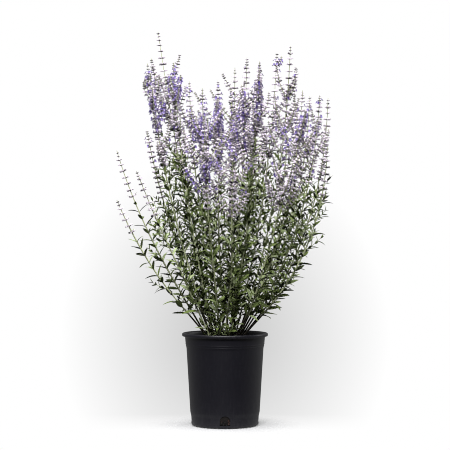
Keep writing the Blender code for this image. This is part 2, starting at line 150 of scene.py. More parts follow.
print("mid grey is", [round(c, 3) for c in linear("#808080")])

# %% [markdown]
# ## Studio
# The photograph was taken in a white studio: a large soft light overhead, a softer one above the
# camera, and white card behind. That is why the leaves that face up are pale, those that face the
# viewer are darker, and the black pot has light edges and a dark front.
# Here the world is the card. Rays that go straight from the camera see it plain white, with a grey
# shade low behind the pot.

# %% World
BEHIND, IN_FRONT = 0.30, 0.0
BRIGHT_FROM = 0.6
SHADE_CENTRE, SHADE_REACH = (0, 1, -0.07), (0.105, 1, 0.12)
SHADE = 0.55
HORIZON = (-0.131, -0.121)


def seen_card(tree, direction):
    """What the camera sees: a white card, with a little grey shade painted low behind the pot."""
    middle = add_node(tree, "ShaderNodeVectorMath", {0: direction, 1: SHADE_CENTRE},
                      operation="SUBTRACT")
    scaled = add_node(tree, "ShaderNodeVectorMath", {0: middle.outputs[0], 1: SHADE_REACH},
                      operation="DIVIDE")
    away = add_node(tree, "ShaderNodeVectorMath", {0: scaled.outputs[0]}, operation="LENGTH")
    card = add_node(tree, "ShaderNodeMapRange", {
        "Value": away.outputs["Value"], "To Min": SHADE, "To Max": 1.0})
    height = add_node(tree, "ShaderNodeSeparateXYZ", {0: direction})
    above = add_node(tree, "ShaderNodeMapRange", {
        "Value": height.outputs["Z"], "From Min": HORIZON[0], "From Max": HORIZON[1]})
    shown = add_node(tree, "ShaderNodeMix", {
        "Factor": above.outputs["Result"], "A": 1.0, "B": card.outputs["Result"]})
    return shown.outputs["Result"]


def light_world():
    """White for the camera; for the plant bright behind, dim in front."""
    world = bpy.data.worlds.new("studio")
    world.use_nodes = True
    bpy.context.scene.world = world
    tree = world.node_tree
    background = tree.nodes["Background"]
    direction = add_node(tree, "ShaderNodeTexCoord").outputs["Generated"]
    parts = add_node(tree, "ShaderNodeSeparateXYZ", {0: direction})
    depth = add_node(tree, "ShaderNodeMapRange", {
        "Value": parts.outputs["Y"], "From Min": -1.0, "From Max": BRIGHT_FROM,
        "To Min": IN_FRONT, "To Max": BEHIND})
    seen = add_node(tree, "ShaderNodeLightPath").outputs["Is Camera Ray"]
    strength = add_node(tree, "ShaderNodeMix", {
        "Factor": seen, "A": depth.outputs["Result"], "B": seen_card(tree, direction)})
    background.inputs["Color"].default_value = (1, 1, 1, 1)
    tree.links.new(strength.outputs["Result"], background.inputs["Strength"])


light_world()
print("world:", bpy.context.scene.world.name)

# %% [markdown]
# The softboxes are area lights about a metre wide, which gives each shadow a soft edge, as in the
# photograph. The one overhead is the strongest, the one in front keeps the pot readable, and a
# weak one on the right keeps that side from going black.

# %% Soft lights
# Name, place, side of the square in metres, watts
LIGHTS = (
    ("overhead", (0.0, -0.3, 3.0), 1.5, 175),
    ("front_card", (-0.3, -2.4, 2.3), 1.1, 105),
    ("side_card", (2.2, 0.8, 1.2), 0.9, 10),
)
AIM = Vector((0, 0, 0.55))


def add_light(name, place, size, watts):
    """A square softbox that points at the middle of the plant."""
    light = bpy.data.lights.new(name, "AREA")
    light.size = size
    light.energy = watts
    lamp = link(name, light)
    lamp.location = place
    lamp.rotation_euler = (AIM - Vector(place)).to_track_quat("-Z", "Y").to_euler()
    return lamp


lamps = [add_light(*row) for row in LIGHTS]
print("lights:", [lamp.name for lamp in lamps])

# %% [markdown]
# The floor is a wide disc of pale paper. A real studio floor curves up into the wall, so no horizon
# shows. Here the disc fades out with its distance from the pot, and the world shows behind it.

# %% Floor
FLOOR_REACH, FLOOR_SIDES = 1.6, 96
FADED_AT = 0.24
# The disc lies this much below the pot's foot, so that the two don't share a plane
FLOOR_DROP = 0.5 * MM


def as_object(name, bm):
    """Turns a bmesh into an object of the scene."""
    mesh = bpy.data.meshes.new(name)
    bm.to_mesh(mesh)
    bm.free()
    return link(name, mesh)


def make_floor():
    """A disc of matt paper that is solid under the pot and clear further out."""
    paper, tree, shader = new_material("studio_paper", 0.7, specular_ior_level=0.2,
                                       base_color=linear("#c8c8ca"))
    place = add_node(tree, "ShaderNodeTexCoord").outputs["Object"]
    reach = add_node(tree, "ShaderNodeVectorMath", {0: place}, operation="LENGTH")
    fade = add_node(tree, "ShaderNodeMapRange", {
        "Value": reach.outputs["Value"], "From Min": 0.0, "From Max": FADED_AT},
        interpolation_type="SMOOTHSTEP")
    clear = add_node(tree, "ShaderNodeBsdfTransparent")
    faded = add_node(tree, "ShaderNodeMixShader", {
        "Fac": fade.outputs["Result"], 1: shader.outputs[0], 2: clear.outputs[0]})
    tree.links.new(faded.outputs[0], tree.nodes["Material Output"].inputs["Surface"])
    bm = bmesh.new()
    bmesh.ops.create_circle(bm, cap_ends=True, segments=FLOOR_SIDES, radius=FLOOR_REACH)
    floor = as_object("floor", bm)
    floor.data.materials.append(paper)
    floor.location.z = -FLOOR_DROP


make_floor()
print("floor reaches", FLOOR_REACH, "m")

# %% [markdown]
# ## Pot
# The pot is blow-moulded: a tube of soft polyethylene was blown against a cold mould. So its wall
# is thin, every edge is round, and its skin is satin with a faint orange peel. Two thin beads
# stiffen it below the lip. A turned shape like this could be made with a Screw modifier or a spin.
# A spin of one outline is the shorter way, and a small function rounds each corner of the outline.

# %% The pot's outline
POT_HEIGHT = 232 * MM
RIM_RADIUS = 108 * MM
WALL = 1.6 * MM
FLOOR = 5 * MM
PAD_RADIUS = 58 * MM
FOOT_RING = (72 * MM, 81 * MM)
BASE_RECESS = 2.5 * MM
POT_SEGMENTS = 128
CORNER_STEPS = 4
SMALL_EDGE, WALL_EDGE = 1.5 * MM, 2.5 * MM
LIP_DEPTH, LIP_EDGE = 8 * MM, 2 * MM

# Outside of the wall from foot to lip, as in the model: radius and height
WALL_LINE = ((84.6 * MM, 4 * MM), (85.6 * MM, 26 * MM), (87.4 * MM, 35 * MM), (96.9 * MM, 194 * MM),
             (99.2 * MM, 206 * MM), (100.8 * MM, 224 * MM))
# Two thin beads go round the shoulder, in place of the line's own corner between these heights
SHOULDER = (198 * MM, 210 * MM)
BEADS = (199.5 * MM, 204.5 * MM)
BEAD_HALF, BEAD_PROUD = 1.6 * MM, 0.6 * MM


def wall_radius(z):
    """Radius of the outside of the pot's wall at a height."""
    for (r, low), (q, high) in zip(WALL_LINE, WALL_LINE[1:]):
        if z <= high:
            return r + (q - r) * (z - low) / (high - low)
    return WALL_LINE[-1][0]


def rounded(corners):
    """An outline with an arc-like curve at each corner. A corner is radius, height, rounding."""
    points = [Vector(corners[0][:2])]
    for before, (r, z, size), after in zip(corners, corners[1:], corners[2:]):
        here = Vector((r, z))
        back, ahead = Vector(before[:2]) - here, Vector(after[:2]) - here
        size = min(size, back.length / 2, ahead.length / 2)
        start, end = here + back.normalized() * size, here + ahead.normalized() * size
        for i in range(CORNER_STEPS + 1):
            t = i / CORNER_STEPS
            points.append(start.lerp(here, t).lerp(here.lerp(end, t), t))
    return points + [Vector(corners[-1][:2])]


def pot_corners():
    """The pot's section from the axis below, round the lip, to the axis above the floor."""
    edge, top, neck = SMALL_EDGE, POT_HEIGHT, WALL_LINE[-1][0]
    below = [(0, 0, 0), (PAD_RADIUS, 0, edge), (PAD_RADIUS + BASE_RECESS, BASE_RECESS, edge),
             (FOOT_RING[0] - BASE_RECESS, BASE_RECESS, edge), (FOOT_RING[0], 0, edge),
             (FOOT_RING[1], 0, 2 * edge)]
    wall = [(r, z, WALL_EDGE) for r, z in WALL_LINE if not SHOULDER[0] < z < SHOULDER[1]]
    for bead in BEADS:
        wall[-1:-1] = [(wall_radius(bead + off) + (0 if off else BEAD_PROUD), bead + off, MM)
                       for off in (-BEAD_HALF, 0, BEAD_HALF)]
    lip = [(RIM_RADIUS - MM, top - LIP_DEPTH, edge), (RIM_RADIUS, top - LIP_DEPTH + edge, edge),
           (RIM_RADIUS, top - LIP_EDGE, LIP_EDGE), (RIM_RADIUS - LIP_EDGE, top, LIP_EDGE),
           (neck + LIP_EDGE, top, LIP_EDGE), (neck - WALL, top - 2 * LIP_EDGE, 1.5 * LIP_EDGE)]
    inside = [(r - WALL, z, WALL_EDGE) for r, z in WALL_LINE[-2:-4:-1]]
    floor_edge = WALL_LINE[1][0] - WALL
    return below + wall + lip + inside + [(floor_edge, FLOOR, 2 * edge), (0, FLOOR, 0)]


outline = rounded(pot_corners())
print("points in the outline:", len(outline))

# %% [markdown]
# A drain hole is an arch low in the wall. Its cutter is a prism that runs out from inside the wall,
# and one Boolean modifier cuts all four. The result is kept as a plain mesh.

# %% Turn the pot and cut its drain holes
DRAIN_HOLES = 4
DRAIN_WIDTH = 26 * MM
DRAIN_LOW, DRAIN_HIGH = 8 * MM, 32 * MM
ARCH_STEPS = 16
CREASE_ANGLE = math.radians(50)


def turned(outline, segments):
    """A closed mesh from an outline that starts and ends on the Z axis."""
    bm = bmesh.new()
    verts = [bm.verts.new((r, 0, z)) for r, z in outline]
    edges = [bm.edges.new(pair) for pair in zip(verts, verts[1:])]
    bmesh.ops.spin(bm, geom=verts + edges, cent=(0, 0, 0), axis=(0, 0, 1), angle=math.tau,
                   steps=segments, use_merge=True)
    bmesh.ops.remove_doubles(bm, verts=bm.verts[:], dist=0.01 * MM)
    bmesh.ops.recalc_face_normals(bm, faces=bm.faces[:])
    return bm


def drain_cutters():
    """One arched prism for each drain hole; the first faces the viewer."""
    half = DRAIN_WIDTH / 2
    arch = [math.pi * i / ARCH_STEPS for i in range(ARCH_STEPS + 1)]
    shape = [(-half, DRAIN_LOW), (half, DRAIN_LOW)]
    shape += [(half * math.cos(a), DRAIN_HIGH - half + half * math.sin(a)) for a in arch]
    bm = bmesh.new()
    for i in range(DRAIN_HOLES):
        turn = Matrix.Rotation(math.tau * i / DRAIN_HOLES, 3, "Z")
        face = bm.faces.new([bm.verts.new(turn @ Vector((x, -RIM_RADIUS, z))) for x, z in shape])
        grown = bmesh.ops.extrude_face_region(bm, geom=[face])["geom"]
        inward = turn @ Vector((0, RIM_RADIUS - FOOT_RING[0], 0))
        bmesh.ops.translate(bm, verts=[v for v in grown if isinstance(v, bmesh.types.BMVert)],
                            vec=inward)
    bmesh.ops.recalc_face_normals(bm, faces=bm.faces[:])
    return as_object("drain_cutters", bm)


def plain_mesh(source):
    """The object as its modifiers make it, as a plain mesh; the source is removed."""
    depsgraph = bpy.context.evaluated_depsgraph_get()
    mesh = bpy.data.meshes.new_from_object(
        source.evaluated_get(depsgraph), preserve_all_data_layers=True, depsgraph=depsgraph)
    bpy.data.objects.remove(source)
    return mesh


def make_pot():
    """The turned pot with its drain holes, smooth but for the edges that are sharp."""
    blank = as_object("pot_blank", turned(outline, POT_SEGMENTS))
    cutters = drain_cutters()
    holes = blank.modifiers.new("Drain holes", "BOOLEAN")
    holes.object = cutters
    mesh = plain_mesh(blank)
    bpy.data.objects.remove(cutters)
    mesh.shade_smooth()
    mesh.set_sharp_from_angle(angle=CREASE_ANGLE)
    return link("nursery_pot", mesh)


pot = make_pot()
print("pot faces:", len(pot.data.polygons))

# %% [markdown]
# Black polyethylene looks dark grey, because its satin skin scatters a little white light. Two
# bumps on object coordinates make that skin: an orange peel about 1.5 mm wide, coarser than the
# real one so that it shows, and slow waves 40 mm wide where the wall shrank unevenly. Handling
# leaves paler scuffs, and splashed dust makes them show more near the foot.

# %% Blow-moulded polyethylene
PEEL, SHRINK, SCUFF = 1.5 * MM, 40 * MM, 3.85 * MM
DUST_TOP = 70 * MM
SCUFFED, DUSTY = 0.25, 0.6


def polyethylene():
    material, tree, shader = new_material("black_polyethylene", 0.45, ior=1.51,
                                          specular_ior_level=0.5)
    place = add_node(tree, "ShaderNodeTexCoord").outputs["Object"]
    waves = add_node(tree, "ShaderNodeTexNoise", {"Vector": place, "Scale": 1 / SHRINK})
    wavy = add_node(tree, "ShaderNodeBump", {
        "Strength": 0.25, "Distance": 2 * MM, "Height": waves.outputs[0]})
    peel = add_node(tree, "ShaderNodeTexNoise", {"Vector": place, "Scale": 1 / PEEL, "Detail": 1.0})
    skin = add_node(tree, "ShaderNodeBump", {
        "Strength": 0.12, "Distance": 0.1 * MM, "Height": peel.outputs[0],
        "Normal": wavy.outputs[0]})
    # squeezed in height, the noise is drawn out into upright streaks
    upright = add_node(tree, "ShaderNodeMapping", {"Vector": place, "Scale": (1, 1, 0.12)})
    scuffs = add_node(tree, "ShaderNodeTexNoise", {
        "Vector": upright.outputs[0], "Scale": 1 / SCUFF, "Detail": 6.0, "Roughness": 0.7})
    worn = add_node(tree, "ShaderNodeMapRange", {
        "Value": scuffs.outputs[0], "From Min": 0.52, "From Max": 0.8})
    height = add_node(tree, "ShaderNodeSeparateXYZ", {0: place})
    dust = add_node(tree, "ShaderNodeMapRange", {
        "Value": height.outputs["Z"], "From Min": DUST_TOP, "From Max": 0.0,
        "To Min": SCUFFED, "To Max": DUSTY})
    dulled = add_node(tree, "ShaderNodeMath", {0: worn.outputs[0], 1: dust.outputs[0]},
                      operation="MULTIPLY")
    ramp = add_node(tree, "ShaderNodeValToRGB", {"Fac": dulled.outputs[0]})
    connect(tree, shader, base_color=fill_stops(ramp, "#111019", "#38373c"),
            normal=skin.outputs[0])
    return material


def finish_piece(piece, slot, *nodes):
    """Hides the model's nodes that a piece stands for, and makes it move with the plant. The slot,
    its finish, is not used.
    """
    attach(piece, "root")
    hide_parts(*nodes)


pot.data.materials.append(polyethylene())
finish_piece(pot, "pot_plastic", "pot")
print("pot material:", pot.data.materials[0].name)

# %% [markdown]
# ## Plant skeleton
# The model's stems are curves that leave one crown, rise, and spread like a vase. The same curves
# are drawn here from the same table, so each stem, leaf and flower grows where the model has it.
# A russian sage is of the mint family: its stems are square, and its leaves stand in crossed pairs.
# A line therefore carries two directions across it, which turn slowly as it grows.

# %% Lines with a turning frame
class Line:
    """A curved centre line with a frame that turns slowly about it."""

    def __init__(self, points, across, turn, twist, foot, tip):
        self.points, self.across, self.turn, self.twist = points, across, turn, twist
        self.foot_half, self.tip_half = foot, tip
        self.along = [0.0]
        for a, b in zip(points, points[1:]):
            self.along.append(self.along[-1] + (b - a).length)
        self.length = self.along[-1]

    def at(self, s):
        """Centre and direction at a length s."""
        if s <= 0:
            along = (self.points[1] - self.points[0]).normalized()
            return self.points[0] + along * s, along
        last = len(self.points) - 1
        i = next((n for n in range(1, last) if self.along[n] >= s), last)
        share = (s - self.along[i - 1]) / (self.along[i] - self.along[i - 1])
        ahead = self.points[min(i + 1, last)]
        behind = self.points[max(i - 2, 0)]
        return self.points[i - 1].lerp(self.points[i], share), (ahead - behind).normalized()

    def axes(self, s):
        """Two directions across the line, turned by its slow twist."""
        along = self.at(s)[1]
        u = (self.across - along * self.across.dot(along)).normalized()
        w = along.cross(u)
        angle = self.turn + self.twist * max(s, 0) / self.length
        return u * math.cos(angle) + w * math.sin(angle), w * math.cos(angle) - u * math.sin(angle)

    def side(self, s, quarter):
        """The direction that a side of the square looks in; quarter 0.5 is a corner."""
        u, w = self.axes(s)
        angle = quarter * math.pi / 2
        return u * math.cos(angle) + w * math.sin(angle)

    def half(self, s):
        """Half of the square's side."""
        return self.foot_half + (self.tip_half - self.foot_half) * min(max(s / self.length, 0), 1)


def curve_points(a, b, c, count):
    """Points along a quadratic curve."""
    shares = [i / count for i in range(count + 1)]
    return [a.lerp(b, t).lerp(b.lerp(c, t), t) for t in shares]


sample = curve_points(Vector(), Vector((0, 0, 0.5)), Vector((0.2, 0, 1)), 8)
print("length of a bent line:", round(Line(sample, Vector((1, 0, 0)), 0, 0, MM, MM).length, 3))

# %% [markdown]
# One row of the table is one stem, measured in the photograph: where its tip is, how far out and up
# its shoulder lies, and how much of it is in flower. The random sway of a stem comes from its own
# number, so it is the same in every run.

# %% The stems
SOIL_Z = 209 * MM
CROWN_RADIUS, CROWN_SPREAD = 10 * MM, 0.11
FOOT_RISE, FOOT_LEAN = 56 * MM, 0.09
STEM_FOOT, STEM_NECK, STEM_TIP = 1.75 * MM, 1.2 * MM, 0.5 * MM
STEM_TWIST = math.radians(110)
STEM_SAMPLES = 64
SWAY = 6 * MM
FIRST_LEAF, BARE_SHARE = 32 * MM, 0.22

# name, tip x, tip y, tip z in millimetres, shoulder out and up as shares, length in flower
STEMS = (
    ("01", -171, 60, 996, 0.66, 0.50, 300),
    ("02", -193, -40, 905, 0.80, 0.50, 270),
    ("03", -130, -10, 911, 0.85, 0.50, 230),
    ("04", -93, 130, 876, 0.85, 0.45, 240),
    ("05", -56, -90, 839, 0.85, 0.45, 240),
    ("06", -18, 60, 872, 0.90, 0.50, 250),
    ("07", 26, 150, 914, 0.90, 0.50, 270),
    ("08", 55, -30, 921, 0.80, 0.50, 280),
    ("09", 85, -100, 904, 0.85, 0.50, 290),
    ("10", 134, 90, 945, 0.85, 0.45, 280),
    ("11", 165, 10, 954, 0.90, 0.40, 280),
    ("12", 190, -110, 832, 0.90, 0.40, 240),
    ("13", 220, 120, 837, 0.92, 0.35, 240),
    ("14", 236, -40, 826, 0.92, 0.35, 230),
    ("15", 262, 40, 826, 0.95, 0.30, 220),
    ("16", 252, -95, 694, 0.94, 0.32, 130),
    ("17", -268, -60, 565, 0.66, 0.38, 100),
    ("18", -275, 40, 692, 0.74, 0.50, 135),
    ("19", -215, -130, 634, 0.66, 0.55, 130),
    ("20", -202, 110, 746, 0.75, 0.50, 190),
    ("21", -50, -185, 758, 0.85, 0.40, 230),
    ("22", 19, -205, 700, 0.90, 0.40, 190),
    ("23", 150, -185, 715, 0.90, 0.38, 190),
    ("24", 62, -160, 652, 0.85, 0.45, 0),
    ("25", -110, 205, 770, 0.85, 0.40, 210),
    ("26", 80, 215, 800, 0.90, 0.40, 220),
    ("27", 190, 190, 715, 0.90, 0.38, 180),
)


def bezier(a, b, c, d, t):
    """The point at a share t of a cubic curve."""
    return a * (1 - t) ** 3 + b * 3 * t * (1 - t) ** 2 + c * 3 * t * t * (1 - t) + d * t ** 3


class Stem(Line):
    """A main stem, from its foot in the crown to the tip of its spray."""

    def __init__(self, row):
        self.name, x, y, z, out, up, flower = row
        self.number = int(self.name)
        tip = Vector((x, y, z)) * MM
        reach = Vector((tip.x, tip.y, 0))
        self.outward = outward = reach.normalized()
        foot = outward * (CROWN_RADIUS + CROWN_SPREAD * reach.length) + Vector((0, 0, SOIL_Z))
        low = foot + reach * FOOT_LEAN + Vector((0, 0, FOOT_RISE))
        shoulder = reach * out + Vector((0, 0, SOIL_Z + (tip.z - SOIL_Z) * up))
        across = Vector((-outward.y, outward.x, 0))
        draw = random.Random(self.number)
        turn = draw.uniform(0, math.pi / 2)
        sway, phase = draw.uniform(-SWAY, SWAY), draw.uniform(0, 2)
        points = []
        for i in range(STEM_SAMPLES + 1):
            t = i / STEM_SAMPLES
            wave = math.sin(math.pi * t) ** 2 * math.sin(math.pi * (2.6 * t + phase))
            points.append(bezier(foot, low, shoulder, tip, t) + across * sway * wave)
        super().__init__(points, across, turn, STEM_TWIST, STEM_FOOT, STEM_TIP)
        self.neck = self.length - flower * MM
        self.first_leaf = FIRST_LEAF + BARE_SHARE * reach.length

    def half(self, s):
        """Half of the stem's side: it narrows to its neck, and again to the tip of its spray."""
        if s <= self.neck:
            return STEM_FOOT + (STEM_NECK - STEM_FOOT) * max(s, 0) / self.neck
        share = (s - self.neck) / max(self.length - self.neck, MM)
        return STEM_NECK + (STEM_TIP - STEM_NECK) * share


stems = [Stem(row) for row in STEMS]
print(len(stems), "stems,", round(sum(stem.length for stem in stems), 1), "m in all")

# %% [markdown]
# ## Square stalks
# A stalk could be extruded ring by ring in code. Geometry Nodes do it in fewer steps: the path of a
# stalk is a chain of edges, each point holds how thick the stalk is there and which way one side
# looks, and Curve to Mesh carries a profile along it. The profile is a square with sunk sides, as a
# mint stem has. It starts as a circle of eight points, of which every other one is a corner.

# %% A tree that draws square stalks
def new_tree(name, *sockets):
    """An empty Geometry Nodes tree with a geometry going in and out, and named inputs."""
    tree = bpy.data.node_groups.new(name, "GeometryNodeTree")
    tree.interface.new_socket("Geometry", in_out="INPUT", socket_type="NodeSocketGeometry")
    tree.interface.new_socket("Geometry", in_out="OUTPUT", socket_type="NodeSocketGeometry")
    for title, kind in sockets:
        tree.interface.new_socket(title, in_out="INPUT", socket_type="NodeSocket" + kind)
    return tree, add_node(tree, "NodeGroupInput").outputs


def end_tree(tree, geometry, finish):
    """Gives the geometry its material and sends it out."""
    skin = add_node(tree, "GeometryNodeSetMaterial", {"Geometry": geometry, "Material": finish})
    add_node(tree, "NodeGroupOutput", {"Geometry": skin.outputs[0]})
    return tree


def stalk_tree():
    """Sweeps a square with sunk sides along each path."""
    tree, given = new_tree("square_stalk", ("Hollow", "Float"), ("Finish", "Material"))
    path = add_node(tree, "GeometryNodeMeshToCurve", {"Mesh": given["Geometry"]})
    across = add_node(tree, "GeometryNodeInputNamedAttribute", {"Name": "across"},
                      data_type="FLOAT_VECTOR")
    framed = add_node(tree, "GeometryNodeSetCurveNormal", {
        "Curve": path.outputs[0], "Normal": across.outputs["Attribute"]}, mode="FREE")
    ring = add_node(tree, "GeometryNodeCurvePrimitiveCircle", {"Resolution": 8, "Radius": 1.0})
    index = add_node(tree, "GeometryNodeInputIndex")
    odd = add_node(tree, "ShaderNodeMath", {0: index.outputs[0], 1: 2.0}, operation="MODULO")
    flat = add_node(tree, "ShaderNodeMath", {0: 1.0, 1: given["Hollow"]}, operation="SUBTRACT")
    far = add_node(tree, "ShaderNodeMix", {
        "Factor": odd.outputs[0], "A": flat.outputs[0], "B": math.sqrt(2)})
    on_ring = add_node(tree, "GeometryNodeInputPosition")
    corner = add_node(tree, "ShaderNodeVectorMath", {
        0: on_ring.outputs[0], "Scale": far.outputs["Result"]}, operation="SCALE")
    profile = add_node(tree, "GeometryNodeSetPosition", {
        "Geometry": ring.outputs[0], "Position": corner.outputs[0]})
    half = add_node(tree, "GeometryNodeInputNamedAttribute", {"Name": "half"}, data_type="FLOAT")
    swept = add_node(tree, "GeometryNodeCurveToMesh", {
        "Curve": framed.outputs[0], "Profile Curve": profile.outputs[0],
        "Scale": half.outputs["Attribute"], "Fill Caps": True})
    return end_tree(tree, swept.outputs[0], given["Finish"])


square_stalk = stalk_tree()
print("nodes in the stalk tree:", len(square_stalk.nodes))

# %% [markdown]
# A path mesh has one chain of edges for each line. A modifier's inputs are set by the identifier of
# their socket, which the interface of the tree gives for each name.

# %% Paths, and a way to run a tree
def set_attribute(mesh, name, kind, values):
    """Stores one value for each point of a mesh."""
    layer = mesh.attributes.new(name, kind, "POINT")
    flat = values if kind in ("FLOAT", "INT") else [c for value in values for c in value]
    layer.data.foreach_set("vector" if kind == "FLOAT_VECTOR" else "value", flat)


def path_object(stretches):
    """A chain of edges for each stretch: a line, its start and end, the steps, and its age."""
    points, edges, halves, across, ages = [], [], [], [], []
    for line, start, end, steps, age in stretches:
        edges += [(len(points) + i, len(points) + i + 1) for i in range(steps)]
        for i in range(steps + 1):
            s = start + (end - start) * i / steps
            points.append(line.at(s)[0])
            halves.append(line.half(s))
            across.append(line.axes(s)[0])
            ages.append(age)
    mesh = bpy.data.meshes.new("paths")
    mesh.from_pydata(points, edges, [])
    set_attribute(mesh, "half", "FLOAT", halves)
    set_attribute(mesh, "across", "FLOAT_VECTOR", across)
    set_attribute(mesh, "tint", "FLOAT", ages)
    return link("paths", mesh)


def run_tree(source, tree, **inputs):
    """Gives an object to a tree and returns what it makes as a plain object."""
    modifier = source.modifiers.new(tree.name, "NODES")
    modifier.node_group = tree
    for socket in tree.interface.items_tree:
        if socket.in_out == "INPUT" and socket.name in inputs:
            modifier[socket.identifier] = inputs[socket.name]
    return link(tree.name, plain_mesh(source))


print("inputs of the stalk tree:", [s.name for s in square_stalk.interface.items_tree])

# %% [markdown]
# ## Leaves
# A leaf is lance-shaped, folded a little along its midrib, arched, and has a few blunt teeth. A
# flat card with a picture would look thin from the side, so each leaf is a closed blade: an upper
# and a lower face that meet at the edge. A few dozen faces are enough, because there are thousands
# of leaves. Four arches and two twists make them differ.

# %% Leaf blades
LEAF_ARCHES = (5, 10, 15, 21)
BLADE_HALF = 0.130
BLADE_FOLD = 0.30
BLADE_RIB = 0.016
TEETH = 4
BLADE_TWIST = 22
TEETH_FROM, TEETH_SPAN = 0.18, 0.72
NOTCH, POINT = 0.86, 1.06
PLAIN_STATIONS = [(0.0, 1.0), (0.2, 1.0), (0.45, 1.05), (0.75, 0.9), (1.0, 0.0)]


def blade_width(t):
    """Half of the blade's width at a share of its length; it is widest before the middle."""
    stalk = min(t / 0.12, 1)
    return BLADE_HALF * (0.16 + 0.84 * stalk ** 1.5 * math.sin(math.pi * t ** 0.78) ** 0.85)


def blade_stations(teeth):
    """Shares of the length with shares of the width: notches and the points of teeth by turns."""
    if not teeth:
        return PLAIN_STATIONS
    stations, step = [(0.0, 1.0), (0.13, 1.0)], TEETH_SPAN / teeth
    for i in range(teeth):
        stations += [(TEETH_FROM + step * i, NOTCH), (TEETH_FROM + step * (i + 0.68), POINT)]
    return stations + [(1.0, 0.0)]


def blade(name, teeth, arch, twist):
    """A blade of length 1 along Y with its upper face to +Z, arched down by twice the angle."""
    bm = bmesh.new()
    under = bm.faces.layers.float.new("under")
    uv = bm.loops.layers.uv.new("UVMap")
    rows, middle, last = [], Vector(), 0.0
    for t, width in blade_stations(teeth):
        bend = math.radians(arch) * (t + last)
        middle = middle + Vector((0, math.cos(bend), -math.sin(bend))) * (t - last)
        last = t
        roll = Matrix.Rotation(math.radians(twist) * t, 3, "Y")
        half = blade_width(t) * width if t < 1 else 0
        sides = [roll @ Vector((x, 0, abs(x) * BLADE_FOLD)) for x in (-half, half)]
        rib = Vector((0, 0, -BLADE_RIB * (1.2 - t)))
        shape = [middle + sides[0], middle, middle + sides[1], middle + rib]
        rows.append([bm.verts.new(p) for p in (shape if t < 1 else [middle])])
    across = (0.0, 0.5, 1.0, 0.5)
    shares = [t for t, _ in blade_stations(teeth)]
    for n, (a, b) in enumerate(zip(rows, rows[1:])):
        for i in range(4):
            j = (i + 1) % 4
            corners = [a[i], a[j], b[j], b[i]] if len(b) == 4 else [a[i], a[j], b[0]]
            face = bm.faces.new(corners)
            face[under] = float(i > 1)
            for loop, column in zip(face.loops, (i, j, j, i)):
                row = n if loop.vert in a else n + 1
                loop[uv].uv = (across[column], shares[row])
    bm.faces.new(rows[0][::-1])[under] = 1.0
    bmesh.ops.recalc_face_normals(bm, faces=bm.faces[:])
    finish_shape(bm, rows)
    return bm_to_shape(name, bm)


def finish_shape(bm, rows):
    """Smooth faces with a crease along the rim and the upper midrib."""
    for face in bm.faces:
        face.smooth = True
    column = {vert: i for row in rows for i, vert in enumerate(row) if len(row) == 4}
    for edge in bm.edges:
        a, b = (column.get(vert, -1) for vert in edge.verts)
        edge.smooth = not (a == b and a in (0, 1, 2)) and -1 not in (a, b)


def bm_to_shape(name, bm):
    """An object that only Geometry Nodes use; it is never linked to the scene."""
    mesh = bpy.data.meshes.new(name)
    bm.to_mesh(mesh)
    bm.free()
    return bpy.data.objects.new(name, mesh)


def shape_set(name, shapes):
    """A collection of shapes, in the order of their names."""
    kept = bpy.data.collections.new(name)
    for shape in shapes:
        kept.objects.link(shape)
    return kept


kinds = [(arch, twist) for arch in LEAF_ARCHES for twist in (-BLADE_TWIST, BLADE_TWIST)]
large = [blade(f"leaf_a{i}", TEETH, *kind) for i, kind in enumerate(kinds)]
small = [blade(f"leaf_b{i}", 0, arch, 0) for i, arch in enumerate(LEAF_ARCHES)]
leaf_shapes = shape_set("leaf_shapes", large + small)
print("faces of a large and a small leaf:", [len(s.data.polygons) for s in (large[0], small[0])])

# %% [markdown]
# ## Places for leaves
# A place is a point, a turn, a size, which shape stands there, and how pale it is. Instance on
# Points reads the first four from the points and carries the last along, and Realize Instances
# makes them one mesh. The tree's input Size makes all of them larger or smaller at once.

# %% A tree that puts shapes on points
# Which input of the node takes which value of the points
POINT_VALUES = (("Instance Index", "shape", "INT"), ("Rotation", "turn", "QUATERNION"),
                ("Scale", "size", "FLOAT"))


def scatter_tree():
    """Puts one shape of a collection on each point."""
    tree, given = new_tree("scatter", ("Shapes", "Collection"), ("Size", "Float"),
                           ("Finish", "Material"))
    shapes = add_node(tree, "GeometryNodeCollectionInfo", {
        "Collection": given["Shapes"], "Separate Children": True, "Reset Children": True})
    placing = {"Points": given["Geometry"], "Instance": shapes.outputs[0], "Pick Instance": True}
    for key, name, data_type in POINT_VALUES:
        value = add_node(tree, "GeometryNodeInputNamedAttribute", {"Name": name},
                         data_type=data_type)
        placing[key] = value.outputs["Attribute"]
    scaled = add_node(tree, "ShaderNodeMath", {0: placing["Scale"], 1: given["Size"]},
                      operation="MULTIPLY")
    placing["Scale"] = scaled.outputs[0]
    placed = add_node(tree, "GeometryNodeInstanceOnPoints", placing)
    real = add_node(tree, "GeometryNodeRealizeInstances", {"Geometry": placed.outputs[0]})
    return end_tree(tree, real.outputs[0], given["Finish"])


def facing(ahead, upward):
    """The turn that lays a shape's length ahead and its upper face upward."""
    upward = (upward - ahead * upward.dot(ahead)).normalized()
    return Matrix((ahead.cross(upward), ahead, upward)).transposed().to_quaternion()


def points_object(places):
    """One point for each place, with its turn, size, shape and tint."""
    points, turns, sizes, shapes, tints = zip(*places) if places else [()] * 5
    mesh = bpy.data.meshes.new("places")
    mesh.from_pydata(points, [], [])
    set_attribute(mesh, "turn", "QUATERNION", turns)
    set_attribute(mesh, "size", "FLOAT", sizes)
    set_attribute(mesh, "shape", "INT", shapes)
    set_attribute(mesh, "tint", "FLOAT", tints)
    return link("places", mesh)


scatter = scatter_tree()
print("inputs of the scatter tree:", [s.name for s in scatter.interface.items_tree])

# %% [markdown]
# Along a stem a pair of leaves stands every 20 mm, each pair crossed to the last. The draws for a
# leaf come from its stem, node and side, so the leaves that the model has are among them.

